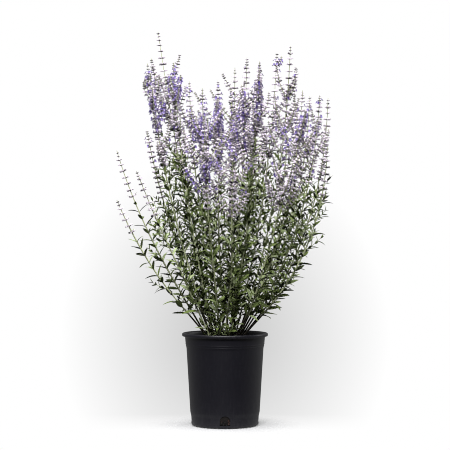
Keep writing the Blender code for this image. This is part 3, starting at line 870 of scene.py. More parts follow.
# %% Pairs of leaves on a stem
LAST_LEAF, LEAF_STEP = 10 * MM, 20 * MM
LEAF_LONG, LEAF_SHORT = 43 * MM, 30 * MM
LEAF_LIFT = (math.radians(42), math.radians(62))
LEAF_DROOP = (2, 24)
LEAF_ROLL = 18
GREEN_SHOOT = 24
# Most leaves are dark, and the darkest green is near black, which is painted shade: a draw from 0
# to 1 is raised to this power, and none is paler than the limit
LEAF_SHADE, PALEST = 1.9, 0.82
# How far out in its stalk a leaf or flower is rooted, as a share of the stalk's half width
LEAF_ROOT, FLOWER_ROOT = 0.8, 0.7
# Added to seeds, so that leaves, axil shoots and side spikes draw apart
LEAF_SEEDS, SHOOT_SEEDS, SPIKE_SEEDS = 500, 5000, 0


def own_draw(stem, node, k, kind):
    """The random draws of what grows at side k of a node."""
    return random.Random(stem.number * 1000 + node * 10 + k + kind)


def leaf_place(line, s, k, length, angle, droop, draw, tint, family):
    """A leaf on side k of a line, at an angle from it, of the family's shape with this droop."""
    centre, along = line.at(s)
    out = line.side(s, k)
    ahead = along * math.cos(angle) + out * math.sin(angle)
    upward = along * math.sin(angle) - out * math.cos(angle)
    arch = min(range(4), key=lambda i: abs(LEAF_ARCHES[i] - droop))
    shape = arch * 2 + draw.randrange(2) if family is large else len(large) + arch
    roll = Quaternion(ahead, math.radians(draw.uniform(-LEAF_ROLL, LEAF_ROLL)))
    return (centre + out * line.half(s) * LEAF_ROOT, facing(ahead, roll @ upward), length, shape,
            min(tint, PALEST))


def pair_leaf(stem, node, s, k):
    """One leaf of a main pair, drawn as in the model."""
    draw = own_draw(stem, node, k, LEAF_SEEDS)
    share = (s - stem.first_leaf) / (stem.neck - stem.first_leaf)
    length = (LEAF_LONG + (LEAF_SHORT - LEAF_LONG) * share) * draw.uniform(0.88, 1.08)
    angle, droop = draw.uniform(*LEAF_LIFT), draw.uniform(*LEAF_DROOP)
    tint = draw.random() ** LEAF_SHADE + (0.3 if stem.number == GREEN_SHOOT else 0)
    return leaf_place(stem, s, k, length, angle, droop, draw, tint, large)


def leaf_nodes(stem):
    """The number and length of each leaf node."""
    count = int((stem.neck - LAST_LEAF - stem.first_leaf) / LEAF_STEP) + 1
    return [(i, stem.first_leaf + LEAF_STEP * i) for i in range(count)]


pairs = sum(len(leaf_nodes(stem)) for stem in stems)
print(pairs, "pairs of main leaves")

# %% [markdown]
# In the axil of almost every leaf a short shoot waits, with smaller leaves. They fill the plant.
# High on a stem they are longer, because that is where it will branch next. The photo shows more
# of them on some stems than on others, and new shoots that rise from the crown in front.

# %% Short shoots in the axils
SHOOT_SHORT, SHOOT_LONG = 8 * MM, 90 * MM
SHOOT_STEP, SHOOT_HALF = 12 * MM, 0.7 * MM
# How many steps the path of a stem, of a new shoot from the crown and of an axil shoot has
STEM_STEPS, BASAL_STEPS, AXIL_STEPS = 44, 5, 3
STEM_BURIED = 12 * MM
SHOOT_DROOP = (3, 21)
# The chance of a shoot is this at a stem's foot, and higher by 1 at its neck
SHOOT_CHANCE = 0.08
# Stems with more or fewer of these shoots than most, and stems with hardly any
LEAFINESS = {1: 0.2, 2: 0.3, 4: -0.25, 6: 0.3, 7: 0.3, 8: -0.2, 10: 0.5, 11: -0.25, 12: -0.25,
             20: 0.2, 22: 0.3, 23: -0.2, 25: -0.3, 26: -0.3, 27: -0.3}
CLEAN_STEMS, CLEAN_CHANCE = (17, 18), 0.1
# Stems of this year have hardly any wood, and shoots none: 0 is last year's wood, 1 is green
FRESH_STEMS, FRESH, GREEN = (5, 19, 21, 22, 24), 0.85, 1.0
# Number of new shoots from the crown in front of a stem
BASAL_SHOOTS = {3: 1, 5: 1, 19: 2, 21: 2, 22: 2, 24: 2}


def fits(tip):
    """Whether a tip stays within the model's box, seen from above."""
    return all(low < here < high for low, here, high in zip(cad_low[:2], tip, cad_high[:2]))


def axil_shoot(stem, node, s, k):
    """The line of a short shoot above a leaf, and the draws that its leaves go on with."""
    draw = own_draw(stem, node, k, SHOOT_SEEDS)
    length = SHOOT_SHORT + (SHOOT_LONG - SHOOT_SHORT) * draw.random() ** 1.6 * (s / stem.neck)
    centre, along = stem.at(s + MM)
    out = stem.side(s, k)
    start = centre + out * stem.half(s)
    bend = start + (out * 0.8 + along).normalized() * length * 0.5
    tip = bend + (out * 0.35 + along).normalized() * length * 0.5
    line = Line(curve_points(start, bend, tip, 4), out.cross(along), draw.uniform(0, 1.5), 0.5,
                SHOOT_HALF, SHOOT_HALF * 0.5)
    return line, draw


def shoot_leaves(line, draw, longest, tint):
    """Crossed pairs of small leaves along a shoot, and a tuft at its tip."""
    places = []
    count = max(1, round(line.length / SHOOT_STEP))
    for i in range(count + 1):
        s = line.length * (i + 0.6) / (count + 0.6)
        for k in (i % 2, i % 2 + 2):
            length = longest * draw.uniform(0.7, 1.0) * (0.75 if i == count else 1)
            angle = math.radians(draw.uniform(28, 58) * (0.5 if i == count else 1))
            places.append(leaf_place(line, s, k, length, angle, draw.uniform(*SHOOT_DROOP), draw,
                                     draw.random() ** LEAF_SHADE * tint, small))
    return places


def dress_leafy_stem(stem):
    """Stretches of stalk and places of leaves for one leafy stem."""
    age = FRESH if stem.number in FRESH_STEMS else 0.0
    stretches, places = [(stem, -STEM_BURIED, stem.neck, STEM_STEPS, age)], []
    lush = 1.2 if stem.number == GREEN_SHOOT else 1.0
    for node, s in leaf_nodes(stem):
        share = s / stem.neck
        likely = SHOOT_CHANCE + share + LEAFINESS.get(stem.number, 0)
        if stem.number in CLEAN_STEMS:
            likely = CLEAN_CHANCE
        for k in (node % 2, node % 2 + 2):
            places.append(pair_leaf(stem, node, s, k))
            line, draw = axil_shoot(stem, node, s, k)
            if draw.random() < likely and fits(line.points[-1]):
                stretches.append((line, 0, line.length, AXIL_STEPS, GREEN))
                places += shoot_leaves(line, draw, (27 - 6 * share) * MM * lush, lush)
    return stretches, places


def dress_basal_shoots(stem, draw):
    """New leafy shoots from the crown in front of a stem."""
    stretches, places = [], []
    for _ in range(BASAL_SHOOTS.get(stem.number, 0)):
        foot = stem.points[0] + Vector((draw.uniform(-7, 7), draw.uniform(-9, -4), -2)) * MM
        lean = Vector((foot.x * 0.2 + draw.uniform(-20, 20) * MM, foot.y * 0.8, 0))
        rise = Vector((0, 0, draw.uniform(36, 80))) * MM
        line = Line(curve_points(foot, foot + rise * 0.5, foot + rise + lean, 6), Vector((1, 0, 0)),
                    draw.uniform(0, 1.5), 0.8, 1.1 * MM, 0.6 * MM)
        stretches.append((line, 0, line.length, BASAL_STEPS, GREEN))
        places += shoot_leaves(line, draw, 29 * MM, 0.9)
    return stretches, places


dressed = {}
for stem in stems:
    basal = dress_basal_shoots(stem, random.Random(stem.number + 300))
    dressed[stem] = tuple(own + new for own, new in zip(dress_leafy_stem(stem), basal))
print(sum(len(places) for _, places in dressed.values()), "leaves")

# %% [markdown]
# A sage leaf is green under a fine grey felt. The felt is thicker below, so the under face is
# paler, and it takes away the gloss that a leaf would have, so roughness is high. Leaves differ in
# tint from one to the next, and the near-black end of their greens is painted shade. The midrib is
# a pale line, read from the blade's own map, and side veins run to the teeth.

# %% Felted leaf
MOTTLE = 4 * MM
# Greens from dark to pale, above and below; the first, near black, is painted shade
UPPER_GREENS = ("#050901", "#74854a", "#9ca685")
LOWER_GREENS = ("#0a1002", "#768750", "#a0aa8b")
RIB_COLOUR, RIB_EDGES = "#a4ac88", (0.02, 0.09)
VEIN_STEP, VEIN_SLANT = 0.09, -0.9


def felted_leaf():
    material, tree, shader = new_material("felted_sage_leaf", 0.85, specular_ior_level=0.05)
    tint = add_node(tree, "ShaderNodeAttribute", attribute_name="tint").outputs["Fac"]
    under = add_node(tree, "ShaderNodeAttribute", attribute_name="under").outputs["Fac"]
    uv = add_node(tree, "ShaderNodeAttribute", attribute_name="UVMap").outputs["Vector"]
    on_blade = add_node(tree, "ShaderNodeSeparateXYZ", {0: uv}).outputs
    place = add_node(tree, "ShaderNodeTexCoord").outputs["Object"]
    mottle = add_node(tree, "ShaderNodeTexNoise", {"Vector": place, "Scale": 1 / MOTTLE})
    # The tint and the mottle pick the green; a low tint gives the near-black painted shade
    tone = add_node(tree, "ShaderNodeMath", {0: mottle.outputs[0], 1: 0.35, 2: tint},
                    operation="MULTIPLY_ADD")
    shade = add_node(tree, "ShaderNodeMath", {0: tone.outputs[0], 1: 0.18}, operation="SUBTRACT",
                     use_clamp=True)
    upper, lower = (
        fill_stops(add_node(tree, "ShaderNodeValToRGB", {"Fac": shade.outputs[0]}), *greens)
        for greens in (UPPER_GREENS, LOWER_GREENS))
    face = add_node(tree, "ShaderNodeMix", {"Factor": under, "A": upper, "B": lower},
                    data_type="RGBA")
    off = add_node(tree, "ShaderNodeMath", {0: on_blade["X"], 1: 0.5}, operation="SUBTRACT")
    away = add_node(tree, "ShaderNodeMath", {0: off.outputs[0]}, operation="ABSOLUTE")
    rib = add_node(tree, "ShaderNodeMapRange", {
        "Value": away.outputs[0], "From Min": RIB_EDGES[0], "From Max": RIB_EDGES[1],
        "To Min": 0.3, "To Max": 0.0})
    slanted = add_node(tree, "ShaderNodeMath", {
        0: away.outputs[0], 1: VEIN_SLANT, 2: on_blade["Y"]}, operation="MULTIPLY_ADD")
    veins = add_node(tree, "ShaderNodeMath", {0: slanted.outputs[0], 1: VEIN_STEP},
                     operation="PINGPONG")
    relief = add_node(tree, "ShaderNodeBump", {
        "Strength": 0.5, "Distance": 0.3 * MM, "Height": veins.outputs[0]})
    shown = add_node(tree, "ShaderNodeMix", {
        "Factor": rib.outputs["Result"], "A": face.outputs["Result"], "B": linear(RIB_COLOUR)},
        data_type="RGBA")
    connect(tree, shader, base_color=shown.outputs["Result"], normal=relief.outputs[0])
    return material


leaf_finish = felted_leaf()
print("leaf material:", leaf_finish.name)

# %% [markdown]
# The stalks are pale grey-green with white down. Low down, last year's growth is bare brown wood.
# The height of a point above the soil drives the change, and young shoots stay green.

# %% Downy stalk
WOOD_TOP, WOOD_FADE = 335 * MM, 70 * MM
# The streaks in the down are finer on a real stalk, where they wouldn't show from here
STREAK = 1.43 * MM
GREEN_SHADES, WOOD_SHADES = ("#838a64", "#c2c8a2"), ("#120e0a", "#352e22")


def downy_stalk():
    material, tree, shader = new_material("downy_stalk", 0.8, sheen_weight=0.08,
                                          specular_ior_level=0.1)
    place = add_node(tree, "ShaderNodeTexCoord").outputs["Object"]
    upright = add_node(tree, "ShaderNodeMapping", {"Vector": place, "Scale": (1, 1, 0.08)})
    streaks = add_node(tree, "ShaderNodeTexNoise", {
        "Vector": upright.outputs[0], "Scale": 1 / STREAK}).outputs[0]
    green, wood = (fill_stops(add_node(tree, "ShaderNodeValToRGB", {"Fac": streaks}), *shades)
                   for shades in (GREEN_SHADES, WOOD_SHADES))
    young = add_node(tree, "ShaderNodeAttribute", attribute_name="tint").outputs["Fac"]
    old = add_node(tree, "ShaderNodeMath", {0: 1.0, 1: young}, operation="SUBTRACT")
    height = add_node(tree, "ShaderNodeSeparateXYZ", {0: place})
    aged = add_node(tree, "ShaderNodeMapRange", {
        "Value": height.outputs["Z"], "From Min": WOOD_TOP - WOOD_FADE, "From Max": WOOD_TOP,
        "To Min": old.outputs[0], "To Max": 0.0})
    shown = add_node(tree, "ShaderNodeMix", {
        "Factor": aged.outputs["Result"], "A": green, "B": wood}, data_type="RGBA")
    relief = add_node(tree, "ShaderNodeBump", {
        "Strength": 0.4, "Distance": 0.2 * MM, "Height": streaks})
    connect(tree, shader, base_color=shown.outputs["Result"], normal=relief.outputs[0])
    return material


stalk_finish = downy_stalk()
print("stalk material:", stalk_finish.name)

# %% [markdown]
# Each leafy stem of the model now becomes one piece: its stalks, then its leaves, joined. One piece
# for each solid keeps the plant easy to change, because a stem can be moved or left out alone.

# %% Grow the leafy stems
STALK_HOLLOW = 0.14


def grow_stalks(stretches):
    """The stalks of a piece as one object."""
    return run_tree(path_object(stretches), square_stalk, Hollow=STALK_HOLLOW, Finish=stalk_finish)


def grow_shapes(places, shapes, finish):
    """The leaves, the calyxes or other repeated shapes of a piece as one object."""
    return run_tree(points_object(places), scatter, Shapes=shapes, Size=1.0, Finish=finish)


def join_pieces(name, parts):
    """Joins plain objects into one piece and names it."""
    with bpy.context.temp_override(active_object=parts[0], object=parts[0],
                                   selected_objects=parts, selected_editable_objects=parts):
        bpy.ops.object.join()
    parts[0].name = parts[0].data.name = name
    return parts[0]


def grow_leafy_stem(stem):
    """The piece that stands for one leafy stem of the model."""
    stretches, places = dressed[stem]
    piece = join_pieces("sage_stem_" + stem.name, [
        grow_stalks(stretches), grow_shapes(places, leaf_shapes, leaf_finish)])
    finish_piece(piece, "foliage", "leafy_stem_" + stem.name)
    return piece


leafy = [grow_leafy_stem(stem) for stem in stems]
print("leafy stems:", len(leafy), "faces:", sum(len(piece.data.polygons) for piece in leafy))

# %% [markdown]
# ## Flowers
# A flower of russian sage has two parts. The calyx is a small felted cup, purple-grey, which stays
# when the petals drop, so most of a spray's colour is calyx. The corolla is a blue-violet tube that
# opens in two lips: four small lobes above, one large lobe below.
# The cup is lofted from a few rings of points. The corolla is two fans: one from its foot round the
# tube to a zigzag of lobes, and one from the lobes back to its throat.

# %% Shapes of flowers
CALYX_SIDES, CALYX_LONG = 5, 7 * MM
# angle round the mouth in degrees, distance from the axis and forward reach in millimetres
LIPS = ((205, 1.7, 7.6), (238, 3.4, 8.8), (270, 4.3, 9.2), (302, 3.4, 8.8), (335, 1.7, 7.6),
        (20, 3.3, 7.6), (45, 2.5, 7.8), (68, 3.9, 7.2), (90, 2.8, 7.6), (112, 3.9, 7.2),
        (135, 2.5, 7.8), (160, 3.3, 7.6))


def around(angle, radius, ahead):
    """A point round the Y axis, with all three given in degrees and millimetres."""
    a = math.radians(angle)
    return Vector((radius * math.cos(a), ahead, radius * math.sin(a))) * MM


def lofted(bm, rings):
    """Joins rings of points with faces; an end ring of one point closes to it."""
    rows = [[bm.verts.new(point) for point in ring] for ring in rings]
    for a, b in zip(rows, rows[1:]):
        count = max(len(a), len(b))
        for i in range(count):
            j = (i + 1) % count
            corners = [a[i % len(a)], a[j % len(a)], b[j % len(b)], b[i % len(b)]]
            bm.faces.new(list(dict.fromkeys(corners)))
    for row in (rows[0], rows[-1]):
        if len(row) > 2:
            bm.faces.new(row)
    bmesh.ops.recalc_face_normals(bm, faces=bm.faces[:])
    for face in bm.faces:
        face.smooth = True
    # How far along the cup a point lies; the felt is painted darker towards the foot by it, as
    # shade
    ahead = bm.verts.layers.float.new("ahead")
    for vert in bm.verts:
        vert[ahead] = vert.co.y / CALYX_LONG
    return bm


def ring(radius, ahead, sides=CALYX_SIDES):
    """Points evenly round the axis."""
    return [around(360 * i / sides + 90, radius, ahead) for i in range(sides)]


def on_axis(ahead):
    """An end ring of one point."""
    return [around(0, 0, ahead)]


def calyx():
    """A ribbed cup with a toothed mouth."""
    mouth = [around(72 * i + 90, 1.65, 6.0 + (0.9 if i in (0, 2, 3) else 0.3)) for i in range(5)]
    return lofted(bmesh.new(), [on_axis(-0.8), ring(1.4, 1.9), mouth, on_axis(4.2)])


def bud():
    """A young calyx, still closed."""
    return lofted(bmesh.new(), [on_axis(-0.5), ring(1.6, 2.6, 4), on_axis(5.4)])


def corolla():
    """The tube and its two lips, which are open in front down to the throat."""
    bm = bmesh.new()
    foot = bm.verts.new(around(0, 0, 2.5))
    neck = [bm.verts.new(point) for point in ring(1.15, 6.4, 4)]
    rim = [bm.verts.new(around(*row)) for row in LIPS]
    # the lobe at 90 degrees comes first, as in the neck
    rim = rim[8:] + rim[:8]
    throat = bm.verts.new(around(0, 0, 6.0))
    for i in range(4):
        j = (i + 1) % 4
        bm.faces.new((foot, neck[j], neck[i]))
        for n in range(3):
            bm.faces.new((neck[i], rim[3 * i + n], rim[(3 * i + n + 1) % 12]))
        bm.faces.new((neck[i], neck[j], rim[(3 * i + 3) % 12]))
    for n in range(12):
        bm.faces.new((rim[n], rim[(n + 1) % 12], throat))
    bmesh.ops.recalc_face_normals(bm, faces=bm.faces[:])
    return bm


calyx_shapes = shape_set("calyx_shapes", [bm_to_shape("calyx_a", calyx()),
                                          bm_to_shape("calyx_b", bud())])
corolla_shapes = shape_set("corolla_shapes", [bm_to_shape("corolla_a", corolla())])

# %% [markdown]
# ## Sprays
# The flowers stand in whorls, tiers of four to six round the stalk, 14 to 17 mm apart low in a
# spray and closer near its tip. From the lower tiers side spikes leave in crossed pairs and carry
# whorls of their own, with a small leaf below. Each spray has one stretch in bloom. Above it the
# flowers are in bud, and below it only the calyxes are left.

# %% Whorls of flowers
FIRST_WHORL, WHORL_STEP, TIP_BARE = 12 * MM, 17 * MM, 2 * MM
# Whorls close up, rise and get smaller from this far below a tip, and the last ones are buds
CLOSING, BUDS_WITHIN = 60 * MM, 20 * MM
FLORET_RISE, CLOSING_RISE = 0.12, 0.6
SMALLEST, GROWTH = 0.75, 0.55
TIER_JITTER = 0.4 * MM
# Mean and spread of the paleness of a whorl, its least value, and the spread within a whorl; they
# differ at random, and the darkest whorls and cups are painted shade
WHORL_TONE, WHORL_DARKEST, CUP_SPREAD = (0.32, 0.4), -0.2, 0.25
PETAL_TONE = (0.5, 0.25)


def add_whorl(cups, petals, line, s, count, seed, bloom):
    """Adds the places of the calyxes and open corollas of one whorl."""
    draw = random.Random(seed)
    left = line.length - s
    near = min(1, left / CLOSING)
    # A low tone darkens the whole whorl, as painted shade
    tone = max(WHORL_DARKEST, draw.gauss(*WHORL_TONE))
    for i in range(count):
        quarter = i * 4 / count + draw.uniform(-0.12, 0.12)
        centre, along = line.at(s + draw.uniform(-TIER_JITTER, TIER_JITTER))
        out = line.side(s, quarter)
        rise = FLORET_RISE + CLOSING_RISE * (1 - near) + draw.uniform(-0.1, 0.1)
        turn = facing((out + along * rise).normalized(), along)
        size = (SMALLEST + GROWTH * near ** 0.5) * draw.uniform(0.88, 1.1)
        point = centre + out * line.half(s) * FLOWER_ROOT
        cups.append((point, turn, size, int(left < BUDS_WITHIN), tone + draw.gauss(0, CUP_SPREAD)))
        if draw.random() < bloom:
            petals.append((point, turn, size, 0, draw.gauss(*PETAL_TONE)))


def whorl_stations(length, first, step):
    """Lengths of the whorls from the first to the bare tip; they close up towards the tip."""
    stations, s = [], first
    while s < length - TIP_BARE:
        stations.append(s)
        s += step * min(1, 0.3 + 0.7 * (length - s) / CLOSING)
    return stations


print("whorls on a spray 250 mm long:", len(whorl_stations(0.25, FIRST_WHORL, WHORL_STEP)))

# %% [markdown]
# No two sprays of the photo are alike. These tables say, stem by stem, how many side spikes a spray
# has, where they are missing, how far they lean out, and which stretch of it is in bloom. Shares of
# a spray are measured down from its tip.

# %% How the sprays differ
SPIKE_FOOT, SPIKE_LONG = 0.95 * MM, 95 * MM
SPIKE_STEP = 0.68 * WHORL_STEP
# How far out and how far up its tip is, as shares of its length
SPIKE_LEAN, SPIKE_RISE = (0.36, 0.56), 0.88
# Side spikes that point away from the plant's middle lean out less by this share
SPIKE_DRAWN_IN = 0.5
# Chance that a side spike is missing, at even and odd whorls at the foot of a spray
SPIKE_LOSS = (0.47, 1.05)
# Sprays that lose fewer side spikes or more than the others
THINNED = {2: 0.2, 3: 0.75, 4: 1.3, 5: 0.1, 6: 0.0, 7: 0.0, 8: 1.2, 9: 0.6, 10: 0.85, 11: 0.7,
           12: 0.6, 13: 0.9, 14: 1.3, 15: 2.0, 16: 3.0, 17: 3.0, 18: 3.0, 19: 3.0, 20: 1.8, 21: 0.6,
           22: 0.2, 23: 0.5}
# Share of a spray that carries side spikes
SPIKED, TALL_SPIKES = 0.62, {2: 0.85, 3: 0.8, 9: 0.75, 10: 0.92}
# Where a spray has no side spikes: on its right (1), left (-1) or all round (None), and the stretch
BARE = {2: ((-1, 0.5, 1),), 3: ((-1, 0.55, 1), (1, 0.65, 1)), 6: ((1, 0, 0.5),),
        7: ((-1, 0, 0.5), (1, 0, 0.5)), 9: ((1, 0, 0.5),), 10: ((-1, 0, 0.5), (None, 0.16, 0.5))}
# Sprays whose whorls stand a full step apart; the others are closer by this factor
OPEN_SPRAYS, CLOSE = (1, 2, 7, 10, 11, 15, 16, 17, 18, 19), 0.8
# How far side spikes lean out compared with the model's: no further, and shorter, in slim sprays,
# further in all others, and furthest in wide ones
SLIM_SPRAYS, WIDE_SPRAYS = (2, 3), (5, 6, 7, 10, 13, 22)
SLIM_LENGTH, USUAL_LEAN, WIDE_LEAN = 0.65, 1.35, 1.55

# Sprays in bloom: the share of open flowers, and where they start and end on the way down
BLOOM = {2: (0.85, 0.0, 0.6), 3: (0.6, 0.12, 0.35), 4: (0.4, 0.1, 0.5), 5: (0.85, 0.25, 0.45),
         6: (0.85, 0.28, 0.5), 7: (0.05, 0.5, 0.8), 8: (0.85, 0.52, 0.78), 9: (0.28, 0.1, 0.5),
         10: (0.7, 0.0, 0.12), 12: (0.4, 0.25, 0.5), 13: (0.25, 0.1, 0.6), 14: (0.2, 0.1, 0.6),
         21: (0.5, 0.52, 0.75), 22: (0.45, 0.0, 0.25), 23: (0.45, 0.0, 0.3)}
# The bloom of the other sprays, and of those at the edges of the plant, which have faded
SPARSE_BLOOM, NO_BLOOM = (0.08, 0.15, 0.8), (0.0, 0.0, 1.0)
FADED_SPRAYS = (15, 16, 17, 18, 19)
# Bloom ends over this share of a spray, down to the least; the top of each spray is in bud
BLOOM_EDGE, LEAST_BLOOM, BUD_SHARE = 0.12, 0.1, 0.06
# A side spike has either far more open flowers than the whorls beside it, or far fewer
FULL_SPIKE, FADED_SPIKE = 2.0, 0.12

print("sprays in bloom:", len(BLOOM), "faded:", len(FADED_SPRAYS))

# %% [markdown]
# A side spike is a small spray of its own. It leaves the stem at a wide angle, then bends upward,
# so a curve from three points is enough. Its draws come from its stem, whorl and side, as those of
# a leaf do, so it starts where the model's does.

# %% Side spikes
def side_spike(stem, node, s, k):
    """The side spike on side k of a whorl: as in the model, but for how far it leans out."""
    draw = own_draw(stem, node, k, SPIKE_SEEDS)
    slim = stem.number in SLIM_SPRAYS
    flower = stem.length - stem.neck
    left = min((stem.length - s) / flower, 1.1)
    reach = min(SPIKE_LONG, flower * 0.42) * (0.72 + 0.28 * left) * draw.uniform(0.85, 1.1)
    reach = min(reach, 0.9 * (stem.length - s)) * (SLIM_LENGTH if slim else 1)
    centre, along = stem.at(s)
    out = stem.side(s, k)
    start = centre + out * stem.half(s)
    lean = draw.uniform(*SPIKE_LEAN) * (1 - SPIKE_DRAWN_IN * max(0, out.dot(stem.outward)))
    lean *= 1 if slim else WIDE_LEAN if stem.number in WIDE_SPRAYS else USUAL_LEAN
    bend = start + (out * 0.62 + along * 0.38).normalized() * reach * 0.42
    tip = start + out * reach * lean + along * reach * SPIKE_RISE
    return Line(curve_points(start, bend, tip, 8), out.cross(along), 0.0, math.radians(30),
                SPIKE_FOOT, STEM_TIP)


def spike_nodes(stem):
    """The whorl numbers that carry side spikes: the lower part of the spray."""
    count = int((stem.length - stem.neck) * TALL_SPIKES.get(stem.number, SPIKED) / WHORL_STEP)
    return [(i, stem.neck + FIRST_WHORL + WHORL_STEP * i) for i in range(count)]


def is_bare(stem, s, k, down):
    """Whether a spray has no side spikes on side k at a share of the way down."""
    return any((side is None or stem.side(s, k).x * side > 0.4) and top <= down <= end
               for side, top, end in BARE.get(stem.number, ()))


print("side spikes on spray 06, before some are left out:", 2 * len(spike_nodes(stems[5])))

# %% [markdown]
# Now a spray is written down from its neck to its tip: first the whorls of its main stalk with
# their small leaves, then the side spikes that aren't left out. A side spike blooms where the main
# stalk beside it does, but either much more or much less, which breaks up the even colour.

# %% Dress the sprays
# A small leaf stands a little below a side spike and below the whorls of the lower part of a spray
BRACTS_BELOW, BRACT_LONG, BRACT_DROP = 0.45, 24 * MM, 3 * MM
# Steps of the paths of a spray and of a side spike, and their age, half way from green to wood
SPRAY_STEPS, SPIKE_STEPS, FLOWERING = 28, 8, 0.5
# The share of a side spike beyond which it is in bud
SPIKE_BUDS = 0.75


def in_bloom(down, bloom):
    """The share of open flowers at a share of the way down a spray."""
    most, opened, faded = bloom
    outside = max(opened - down, down - faded, 0)
    return most * max(LEAST_BLOOM, 1 - outside / BLOOM_EDGE) if down > BUD_SHARE else 0


def bract(line, s, k, length, draw):
    """A small leaf below a whorl or a side spike."""
    angle = math.radians(draw.uniform(40, 70))
    return leaf_place(line, s - BRACT_DROP, k, length, angle, draw.uniform(*SHOOT_DROOP), draw,
                      draw.random() ** LEAF_SHADE, small)


def dress_spray(stem):
    """Stretches of stalk, calyxes, corollas and bracts for one spray."""
    stretches = [(stem, stem.neck - MM, stem.length, SPRAY_STEPS, FLOWERING)]
    cups, petals, bracts = [], [], []
    draw = random.Random(stem.number + 90)
    bloom = BLOOM.get(stem.number, NO_BLOOM if stem.number in FADED_SPRAYS else SPARSE_BLOOM)
    first = stem.neck + FIRST_WHORL
    spray_length = stem.length - first
    step = WHORL_STEP * (1 if stem.number in OPEN_SPRAYS else CLOSE)
    for n, s in enumerate(whorl_stations(stem.length, first, step)):
        down = (stem.length - s) / spray_length
        add_whorl(cups, petals, stem, s, 6 if down > 0.08 else 4, stem.number * 7000 + n,
                  in_bloom(down, bloom))
        if down > BRACTS_BELOW:
            length = BRACT_LONG * (down - 0.3)
            bracts += [bract(stem, s, k, length, draw) for k in (n % 2, n % 2 + 2)]
    for node, s in spike_nodes(stem):
        low = (stem.length - s) / spray_length
        loss = SPIKE_LOSS[node % 2] * THINNED.get(stem.number, 1) * low
        for k in (node % 4 // 2, node % 4 // 2 + 2):
            if draw.random() < loss or is_bare(stem, s, k, low):
                continue
            spike = side_spike(stem, node, s, k)
            if not fits(spike.points[-1]):
                continue
            stretches.append((spike, 0, spike.length, SPIKE_STEPS, FLOWERING))
            fullness = FULL_SPIKE if draw.random() < 0.2 + 0.4 * bloom[0] else FADED_SPIKE
            bracts.append(bract(stem, s, k, BRACT_LONG * low, draw))
            seed = stem.number * 9000 + node * 100 + k * 10
            for n, at in enumerate(whorl_stations(spike.length, FIRST_WHORL / 2, SPIKE_STEP)):
                opened = fullness * in_bloom(low - 0.9 * at / spray_length, bloom)
                if at > SPIKE_BUDS * spike.length:
                    opened = 0
                add_whorl(cups, petals, spike, at, 4, seed + n, opened)
    return stretches, cups, petals, bracts


sprays = {stem: dress_spray(stem) for stem in stems if stem.neck < stem.length}
print("calyxes:", sum(len(s[1]) for s in sprays.values()),
      "open flowers:", sum(len(s[2]) for s in sprays.values()))

# %% [markdown]
# Both parts of a flower are matt. The calyx is violet-grey under long pale hairs, pale at its
# mouth and painted darker towards where it is rooted: painted shade inside the whorl. The corolla
# is thin and blue-violet, and some are paler than others.

# %% Calyx felt and petal
# Tufts of hairs: a single hair is too fine to show, so the pattern is drawn this coarse
HAIRS = 0.8 * MM


def calyx_felt():
    material, tree, shader = new_material("calyx_felt", 0.85, sheen_weight=0.08,
                                          specular_ior_level=0.08)
    tint = add_node(tree, "ShaderNodeAttribute", attribute_name="tint").outputs["Fac"]
    ahead = add_node(tree, "ShaderNodeAttribute", attribute_name="ahead").outputs["Fac"]
    place = add_node(tree, "ShaderNodeTexCoord").outputs["Object"]
    hairs = add_node(tree, "ShaderNodeTexNoise", {"Vector": place, "Scale": 1 / HAIRS})
    # Tone from the hairs and the tint, darkened towards the cup's foot: painted shade inside the
    # whorl, down to a near-black violet
    tone = add_node(tree, "ShaderNodeMath", {0: hairs.outputs[0], 1: tint}, operation="ADD")
    share = add_node(tree, "ShaderNodeMath", {0: tone.outputs[0], 1: ahead}, operation="MULTIPLY",
                     use_clamp=True)
    ramp = add_node(tree, "ShaderNodeValToRGB", {"Fac": share.outputs[0]})
    relief = add_node(tree, "ShaderNodeBump", {
        "Strength": 0.6, "Distance": 0.2 * MM, "Height": hairs.outputs[0]})
    connect(tree, shader, base_color=fill_stops(ramp, "#1a111e", "#e8dcea"),
            normal=relief.outputs[0])
    return material


def petal():
    material, tree, shader = new_material("violet_petal", 0.6, specular_ior_level=0.2)
    tint = add_node(tree, "ShaderNodeAttribute", attribute_name="tint").outputs["Fac"]
    ramp = add_node(tree, "ShaderNodeValToRGB", {"Fac": tint})
    connect(tree, shader, base_color=fill_stops(ramp, "#4f407f", "#998bbc"))
    return material


calyx_finish, petal_finish = calyx_felt(), petal()
print("flower materials:", calyx_finish.name, petal_finish.name)

# %% [markdown]
# A spray is joined from four parts: stalks, calyxes, corollas and small leaves. Each part brings
# its own material, and the joined piece keeps all of them.

# %% Grow the sprays
def grow_spray(stem):
    """The piece that stands for one spray of the model."""
    stretches, cups, petals, bracts = sprays[stem]
    piece = join_pieces("sage_spray_" + stem.name, [
        grow_stalks(stretches), grow_shapes(cups, calyx_shapes, calyx_finish),
        grow_shapes(petals, corolla_shapes, petal_finish),
        grow_shapes(bracts, leaf_shapes, leaf_finish)])
    finish_piece(piece, "flowers", "spray_" + stem.name)
    return piece


flowering = [grow_spray(stem) for stem in sprays]
print("sprays:", len(flowering), "faces:", sum(len(piece.data.polygons) for piece in flowering))

# %% [markdown]
# ## Soil
# The pot is filled with dark potting soil under shredded bark. The soil is a turned body whose top
# is lifted by noise, and bark chips lie on it and show in the drain holes.

# %% Soil body
SOIL_EDGE_Z = 204 * MM
SOIL_GAP = 0.3 * MM
SOIL_RINGS, SOIL_SEGMENTS = 24, 96
# How high the lumps are, and how many waves of noise there are in a metre
LUMP, LUMPS = 3 * MM, 90


def soil_height(reach, edge):
    """Height of the even soil: it rises a little from the wall, then stays level."""
    return SOIL_EDGE_Z + (SOIL_Z - SOIL_EDGE_Z) * min(1, 3 * (1 - reach / edge))


